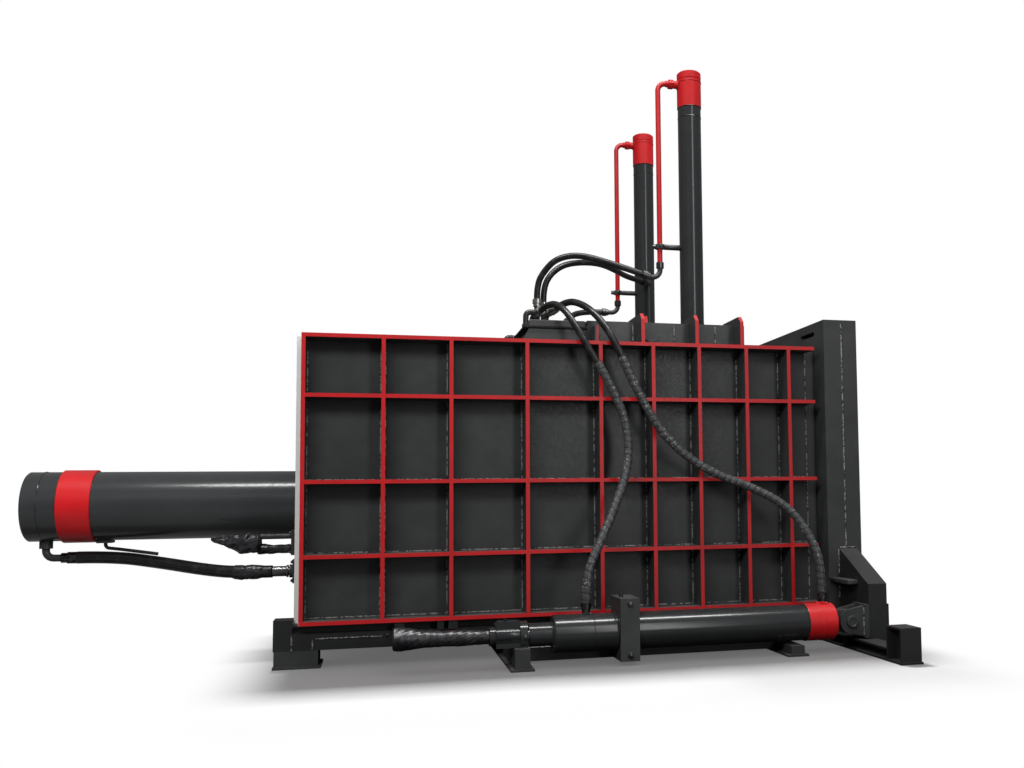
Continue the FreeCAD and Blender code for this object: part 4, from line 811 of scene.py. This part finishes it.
addFilm("rodFilmNear", rodFilm, ["rod_films"])
addFilm("rodFilmFar", rodFilm, [], mirror=True)
addFilm("returnFilm", returnFilm, ["return_wrap"])
addFilm("lowerPipeFilm", lowerPipeFilm, [])
addFilm("mainHoseFilm", mainHoseFilm, [])
print("film wrapped")

# Helpers for modelled pieces

turnOf = {"X": (0, math.pi / 2, 0), "Y": (math.pi / 2, 0, 0), "Z": (0, 0, 0)}
stepOf = {"X": Vector((1, 0, 0)), "Y": Vector((0, 1, 0)), "Z": Vector((0, 0, 1))}


def clearSelection():
    bpy.ops.object.select_all(action="DESELECT")


def applyPlace():
    bpy.ops.object.transform_apply(location=True, rotation=True, scale=True)


def selectWhere(elements, test):
    # leaves edit mode with the elements selected that pass the test
    bpy.ops.object.mode_set(mode="EDIT")
    bpy.ops.mesh.select_all(action="DESELECT")
    bpy.ops.object.mode_set(mode="OBJECT")
    for element in elements:
        element.select = test(element)


def roundPiece(place, axis, radius, depth, sides=32, edge=0.002):
    # a turned piece with its middle at place and both rims broken
    clearSelection()
    bpy.ops.mesh.primitive_cylinder_add(vertices=sides, radius=radius, depth=depth, location=place,
                                        rotation=turnOf[axis])
    applyPlace()
    bpy.ops.object.mode_set(mode="EDIT")
    bpy.ops.mesh.select_all(action="DESELECT")
    bpy.ops.mesh.edges_select_sharp(sharpness=math.radians(70))
    bpy.ops.mesh.bevel(offset=edge, segments=2, affect="EDGES")
    bpy.ops.object.mode_set(mode="OBJECT")
    return bpy.context.object


def turnedAlongX(span, y, z, radius, sides, edge):
    # the same, lying along X between the two ends of a span
    return roundPiece((sum(span) / 2, y, z), "X", radius, span[1] - span[0], sides, edge)


def hexBolt(place, axis, outward, across, head):
    # a hexagon head on its washer, standing on place and pointing outward, with the bolt's end on top
    step = stepOf[axis] * outward
    thin = head * 0.22
    washer = roundPiece(Vector(place) + step * thin / 2, axis, across * 0.66, thin, 24, thin * 0.25)
    top = roundPiece(Vector(place) + step * (thin + head / 2), axis, across / math.sqrt(3), head, 6, head * 0.10)
    shank = roundPiece(Vector(place) + step * (thin + head * 1.12), axis, across * 0.27, head * 0.3, 16, head * 0.05)
    return [washer, top, shank]


def joinAs(name, objects, finish, body, slot, sharp=True):
    clearSelection()
    for piece in objects:
        piece.select_set(True)
    bpy.context.view_layer.objects.active = objects[0]
    if len(objects) > 1:
        bpy.ops.object.join()
    whole = bpy.context.object
    whole.name = name
    whole.data.materials.clear()
    whole.data.materials.append(finishes[finish])
    if sharp:
        bpy.ops.object.shade_smooth_by_angle(angle=math.radians(40))
    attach(whole, body)
    return whole


def joinPair(name, objects, finish, body, slot, sharp=True):
    # the near piece, and the far one mirrored in the machine's centre plane with its own mesh
    near = joinAs(name + "Near", objects, finish, body, slot, sharp)
    mesh = near.data.copy()
    mesh.transform(Matrix.Scale(-1, 4, (0, 1, 0)))
    mesh.flip_normals()
    far = bpy.data.objects.new(name + "Far", mesh)
    bpy.context.scene.collection.objects.link(far)
    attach(far, body)


# Fillet welds: one weld pool is modelled and repeated along each line

fillet = {"radius": 0.0062, "pool": 0.016, "sides": 5, "neck": 0.0016, "merge": 0.0004}


def weldLine(start, end):
    # a bead from start to end along X or Z, each pool swollen in its middle
    along = Vector(end) - Vector(start)
    axis = "X" if abs(along.x) > abs(along.z) else "Z"
    ahead = along.normalized()
    pools = max(1, round(along.length / fillet["pool"]))
    pool = along.length / pools
    middle = Vector(start) + ahead * pool / 2
    clearSelection()
    bpy.ops.mesh.primitive_cylinder_add(vertices=fillet["sides"], radius=fillet["radius"] - fillet["neck"],
                                        depth=pool, end_fill_type="NOTHING", rotation=turnOf[axis], location=middle)
    applyPlace()
    bead = bpy.context.object
    bpy.ops.object.mode_set(mode="EDIT")
    bpy.ops.mesh.select_all(action="SELECT")
    bpy.ops.mesh.subdivide(number_cuts=1, quadcorner="INNERVERT")
    bpy.ops.object.mode_set(mode="OBJECT")
    for vertex in bead.data.vertices:
        vertex.select = abs((vertex.co - middle).dot(ahead)) < pool * 0.1
    bpy.ops.object.mode_set(mode="EDIT")
    bpy.ops.transform.shrink_fatten(value=fillet["neck"])
    bpy.ops.object.mode_set(mode="OBJECT")
    row = bead.modifiers.new("row", "ARRAY")
    row.count = pools
    row.use_relative_offset = False
    row.use_constant_offset = True
    row.constant_offset_displace = ahead * pool
    row.use_merge_vertices = True
    row.merge_threshold = fillet["merge"]
    bpy.ops.object.modifier_apply(modifier="row")
    return bead


def addWelds(name, lines, body):
    seams = [weldLine(*line) for line in lines]
    for seam in seams:
        for polygon in seam.data.polygons:
            polygon.use_smooth = True
    joinPair(name, seams, "bareAndHighlitWeld", body, "black_paint", sharp=False)


# Welds along the roots of the walls' posts and rails

wall = {
    "plate": 0.890, "back": -1.372, "front": 2.250, "rib": 0.026,
    "posts": [-1.358, -0.851, -0.407, 0.108, 0.626, 1.009, 1.352, 1.713, 2.044],
    "rails": [0.293, 0.718, 1.203, 1.771, 2.167],
}


def wallWeldLines():
    half = wall["rib"] / 2 + fillet["radius"] * 0.35
    root = -wall["plate"] - fillet["radius"] * 0.25
    bays = [(low + half, high - half) for low, high in zip(wall["rails"], wall["rails"][1:])]
    upright = [post + side * half for post in wall["posts"] for side in (-1, 1)
               if post + side * half > wall["back"]] + [wall["front"]]
    lines = [((x, root, low), (x, root, high)) for x in upright for low, high in bays]
    for rail in wall["rails"][:-1]:
        for left, right in zip(wall["posts"], wall["posts"][1:] + [wall["front"]]):
            lines.append(((left + half, root, rail + half), (right - half, root, rail + half)))
    return lines


wallLines = wallWeldLines()
addWelds("wallWelds", wallLines, "chamber")
print("wall welds:", len(wallLines), "lines a side")

# Welds on the skids, on the crown and on the gate, each from its start to its end

otherWelds = {
    "skidWelds": {"body": "chamber", "lines": [
        ((-1.4155, -1.0010, 0.117), (-1.4155, -1.0010, 0.215)),
        ((-1.2870, -1.0010, 0.120), (-1.2870, -1.0010, 0.184)),
        ((-1.2660, -1.0010, 0.188), (-0.8500, -1.0010, 0.188))]},
    "crownWelds": {"body": "chamber", "lines": [
        ((x, -0.8925, 2.215), (x, -0.8925, 2.335)) for x in (0.906, 1.218, 1.536)]},
    "gateWeld": {"body": "end_gate", "lines": [
        ((2.4702, -1.0715, 0.260), (2.4702, -1.0715, 2.360)),    # between the slab and the frame
        ((2.4095, -1.0735, 0.500), (2.4095, -1.0735, 0.685)),    # the arm's root, above and below the ledge
        ((2.4095, -1.0735, 0.330), (2.4095, -1.0735, 0.440)),
        ((2.4180, -1.0735, 0.693), (2.5480, -1.0735, 0.693)),    # the arm's top
        ((2.3785, -1.5010, 0.112), (2.3785, -1.5010, 0.302))]},  # the clevis on its base plate
}
for weldName, weld in otherWelds.items():
    addWelds(weldName, weld["lines"], weld["body"])
print("skid, crown and gate welds")

# Weld rings on the cylinders: middle, axis, radius and bead of each

ringWelds = {
    "mainCylinderWelds": {"body": "chamber", "finish": "glossBlackEnamel", "pair": False, "rings": [
        ((-3.1353, 0.0, 1.060), "X", 0.2435, 0.0035), ((-1.4165, 0.0, 1.060), "X", 0.246, 0.008)]},
    "pressCylinderWelds": {"body": "chamber", "finish": "glossBlackEnamel", "pair": True, "rings": [
        ((1.425, -0.690, 2.3545), "Z", 0.098, 0.006), ((1.425, -0.690, 4.0647), "Z", 0.0905, 0.003),
        ((1.425, -0.690, 3.985), "Z", 0.0895, 0.002)]},
    "sideCylinderWelds": {"body": "end_gate", "finish": "glossBlackEnamel", "pair": True, "rings": [
        ((0.2085, -1.420, 0.207), "X", 0.077, 0.006), ((1.9602, -1.420, 0.207), "X", 0.1225, 0.0045),
        ((0.434, -1.420, 0.3275), "Z", 0.031, 0.005),
        ((0.470, -1.420, 0.207), "X", 0.1212, 0.0022), ((0.622, -1.420, 0.207), "X", 0.122, 0.006)]},
    "pressCapWelds": {"body": "chamber", "finish": "carmineRedEnamel", "pair": True, "rings": [
        ((1.425, -0.690, 4.2625), "Z", 0.0935, 0.0028), ((1.3335, -0.690, 4.2459), "X", 0.0335, 0.0045)]},
    "sideCapWelds": {"body": "end_gate", "finish": "signalRedEnamel", "pair": True, "rings": [
        ((2.104, -1.420, 0.3335), "Z", 0.033, 0.007), ((2.078, -1.420, 0.207), "X", 0.1262, 0.0022)]},
}
ringRipple = {"pools": 90, "round": 8, "depth": 0.18}


def weldRing(place, axis, radius, bead):
    # a fillet bead round a cylinder, rippled once a weld pool
    clearSelection()
    bpy.ops.mesh.primitive_torus_add(major_radius=radius, minor_radius=bead, major_segments=ringRipple["pools"] * 2,
                                     minor_segments=ringRipple["round"], location=place, rotation=turnOf[axis])
    applyPlace()
    ring = bpy.context.object
    selectWhere(ring.data.vertices, lambda vertex: (vertex.index // ringRipple["round"]) % 2 == 0)
    bpy.ops.object.mode_set(mode="EDIT")
    bpy.ops.transform.shrink_fatten(value=-bead * ringRipple["depth"])
    bpy.ops.object.mode_set(mode="OBJECT")
    return ring


for weldName, weld in ringWelds.items():
    join = joinPair if weld["pair"] else joinAs
    join(weldName, [weldRing(*ring) for ring in weld["rings"]], weld["finish"], weld["body"],
         "red_paint" if "Red" in weld["finish"] else "gloss_black_paint")
print("weld rings")

# Bolts: foot, axis, direction, width across flats and height of head of each

boltSets = {
    "shoeBolts": {"body": "end_gate", "pair": True, "bolts": [
        ((0.697, -1.558, 0.392), "Y", -1, 0.030, 0.013), ((0.697, -1.558, 0.066), "Y", -1, 0.030, 0.013),
        ((0.669, -1.420, 0.4281), "Z", 1, 0.024, 0.018)]},
    "anchorBolts": {"body": "chamber", "pair": True, "bolts": [
        ((0.020, -1.5117, 0.207), "Y", -1, 0.024, 0.010), ((-0.091, -1.420, 0.3011), "Z", 1, 0.022, 0.010)]},
    "mainFlangeBolts": {"body": "chamber", "pair": False, "bolts": [
        ((-1.4565, -0.396 + y, 0.590 + z), "X", -1, 0.019, 0.010) for y in (-0.044, 0.044) for z in (-0.065, 0.065)]},
    "returnBlockBolts": {"body": "chamber", "pair": False, "bolts": [
        ((-1.4725, -0.330 + y, 0.788 + z), "X", -1, 0.017, 0.010) for y in (-0.055, 0.055) for z in (-0.068, 0.068)]},
    "pipeClampBolts": {"body": "chamber", "pair": False, "bolts": [
        ((1.175, -0.725, 2.971), "Y", -1, 0.020, 0.010), ((1.175, 0.655, 2.896), "Y", -1, 0.020, 0.010)]},
    "skidBolts": {"body": "chamber", "pair": True, "bolts": [
        ((-0.820, -1.0001, 0.190), "Y", -1, 0.016, 0.008)]},
}
for boltName, bolts in boltSets.items():
    join = joinPair if bolts["pair"] else joinAs
    join(boltName, [part for bolt in bolts["bolts"] for part in hexBolt(*bolt)], "blackBolt", bolts["body"],
         "bare_steel")
print("bolts")

# Keeper discs on the clevis pins, each with a raised rim

pinKeeper = {"x": 2.289, "z": 0.207, "face": -1.5123, "radii": (0.041, 0.027), "thick": 0.006, "edge": 0.0015,
             "slope": 0.003}


def addPinKeeper():
    outer, inner = pinKeeper["radii"]
    disc = roundPiece((pinKeeper["x"], pinKeeper["face"] - pinKeeper["thick"] / 2, pinKeeper["z"]), "Y",
                      outer, pinKeeper["thick"], 40, pinKeeper["edge"])
    selectWhere(disc.data.polygons, lambda polygon: polygon.normal.y < -0.9 and polygon.area > 0.001)
    bpy.ops.object.mode_set(mode="EDIT")
    bpy.ops.mesh.inset(thickness=outer - inner - pinKeeper["slope"], depth=0.0)
    bpy.ops.mesh.inset(thickness=pinKeeper["slope"], depth=-pinKeeper["slope"])
    bpy.ops.object.mode_set(mode="OBJECT")
    joinPair("pinKeeper", [disc], "satinBlackEnamel", "end_gate", "black_paint")


addPinKeeper()
print("pin keepers")

# Stand-off arms of the pipe clamps, with a hex nut outside the collar

clampArms = {"sides": {"Near": (-0.690, 2.971), "Far": (0.690, 2.896)},
             "arm": (1.207, 1.3355), "nut": (1.118, 1.142), "radius": 0.021}
for sideName, (y, z) in clampArms["sides"].items():
    sleeve = turnedAlongX(clampArms["arm"], y, z, clampArms["radius"], 28, 0.003)
    nut = turnedAlongX(clampArms["nut"], y, z, clampArms["radius"] * 0.9, 6, 0.002)
    joinAs("clampArm" + sideName, [sleeve, nut], "glossBlackEnamel", "chamber", "black_paint")
print("clamp arms")

# Ferrule and flange face of the main hose at the sleeve on the rear plate

mainFerrule = {"y": -0.396, "z": 0.590, "ferrule": {"x": (-1.612, -1.498), "radius": 0.036, "edge": 0.004},
               "flange": {"x": (-1.5005, -1.4865), "radius": 0.043, "edge": 0.003}}
joinAs("mainFerrule", [
    turnedAlongX(mainFerrule[part]["x"], mainFerrule["y"], mainFerrule["z"], mainFerrule[part]["radius"], 36,
                 mainFerrule[part]["edge"])
    for part in ("ferrule", "flange")], "fittingSteel", "chamber", "bare_steel")

# Screwed unions between the press pipes and the caps: the X span, radius and sides of each part

unions = {"z": 4.2459, "y": {"Near": -0.690, "Far": 0.690}, "edge": 0.002, "parts": [
    ((1.258, 1.296), 0.0365, 6), ((1.296, 1.3335), 0.0300, 32), ((1.236, 1.258), 0.0245, 32)]}
for sideName, y in unions["y"].items():
    turned = [turnedAlongX(span, y, unions["z"], radius, sides, unions["edge"])
              for span, radius, sides in unions["parts"]]
    joinAs("capUnion" + sideName, turned, "carmineRedEnamel", "chamber", "red_paint")
print("main ferrule and unions")

# Half pipe welded to the front of each rod anchor

anchorBar = {"x": (-0.156, -0.006), "y": -1.462, "z": 0.217, "radius": 0.045}
bar = turnedAlongX(anchorBar["x"], anchorBar["y"], anchorBar["z"], anchorBar["radius"], 48, 0.003)
joinPair("anchorBar", [bar], "glossBlackEnamel", "chamber", "gloss_black_paint")
print("anchor bars")

# A thin near-black strip under each manifold, over the tray: a plate edge and the painted shadow of the gap there;
# and the plate that carries each gate ledge on to the arm

plates = {
    "gapShadowPlateEdge": {"middle": (0.330, -0.8965, 2.2950), "size": (0.470, 0.013, 0.020), "round": 0.004,
                "finish": "rubberAndShadowBlack", "body": "chamber", "slot": "hose_rubber"},
    "ledgePlate": {"middle": (2.3703, -1.2630, 0.4630), "size": (0.0810, 0.2040, 0.0300), "round": 0.0025,
                   "finish": "satinBlackEnamel", "body": "end_gate", "slot": "black_paint"},
}


def addPlate(name, plate):
    clearSelection()
    bpy.ops.mesh.primitive_cube_add(size=1.0, location=plate["middle"])
    sheet = bpy.context.object
    sheet.scale = plate["size"]
    applyPlace()
    bpy.ops.object.mode_set(mode="EDIT")
    bpy.ops.mesh.select_all(action="SELECT")
    bpy.ops.mesh.bevel(offset=plate["round"], segments=3, affect="EDGES")
    bpy.ops.object.mode_set(mode="OBJECT")
    joinPair(name, [sheet], plate["finish"], plate["body"], plate["slot"])


for plateName, plate in plates.items():
    addPlate(plateName, plate)
print("mat edges and ledge plates")

# Bent bypass pipe on each manifold, with a hex foot at each end

bypass = {"radius": 0.021, "step": 0.005, "sides": 24,
          "line": [(0.165, -0.600, 2.345), (0.165, -0.600, 2.400), (0.168, -0.600, 2.444), (0.208, -0.600, 2.456),
                   (0.247, -0.600, 2.444), (0.250, -0.600, 2.400), (0.250, -0.600, 2.345)],
          "feet": [(0.165, -0.600, 2.3565), (0.250, -0.600, 2.3565)], "foot": (0.03045, 0.013, 6, 0.0015)}
places, at = evenPoints(linePoints(bypass["line"]), bypass["step"])
pipe = tubeAlong("bypassNear", places, at, lambda distance, angle: bypass["radius"], bypass["sides"])
feet = [roundPiece(foot, "Z", *bypass["foot"]) for foot in bypass["feet"]]
joinPair("bypass", [pipe] + feet, "glossBlackEnamel", "chamber", "black_paint")
print("bypass pipes")
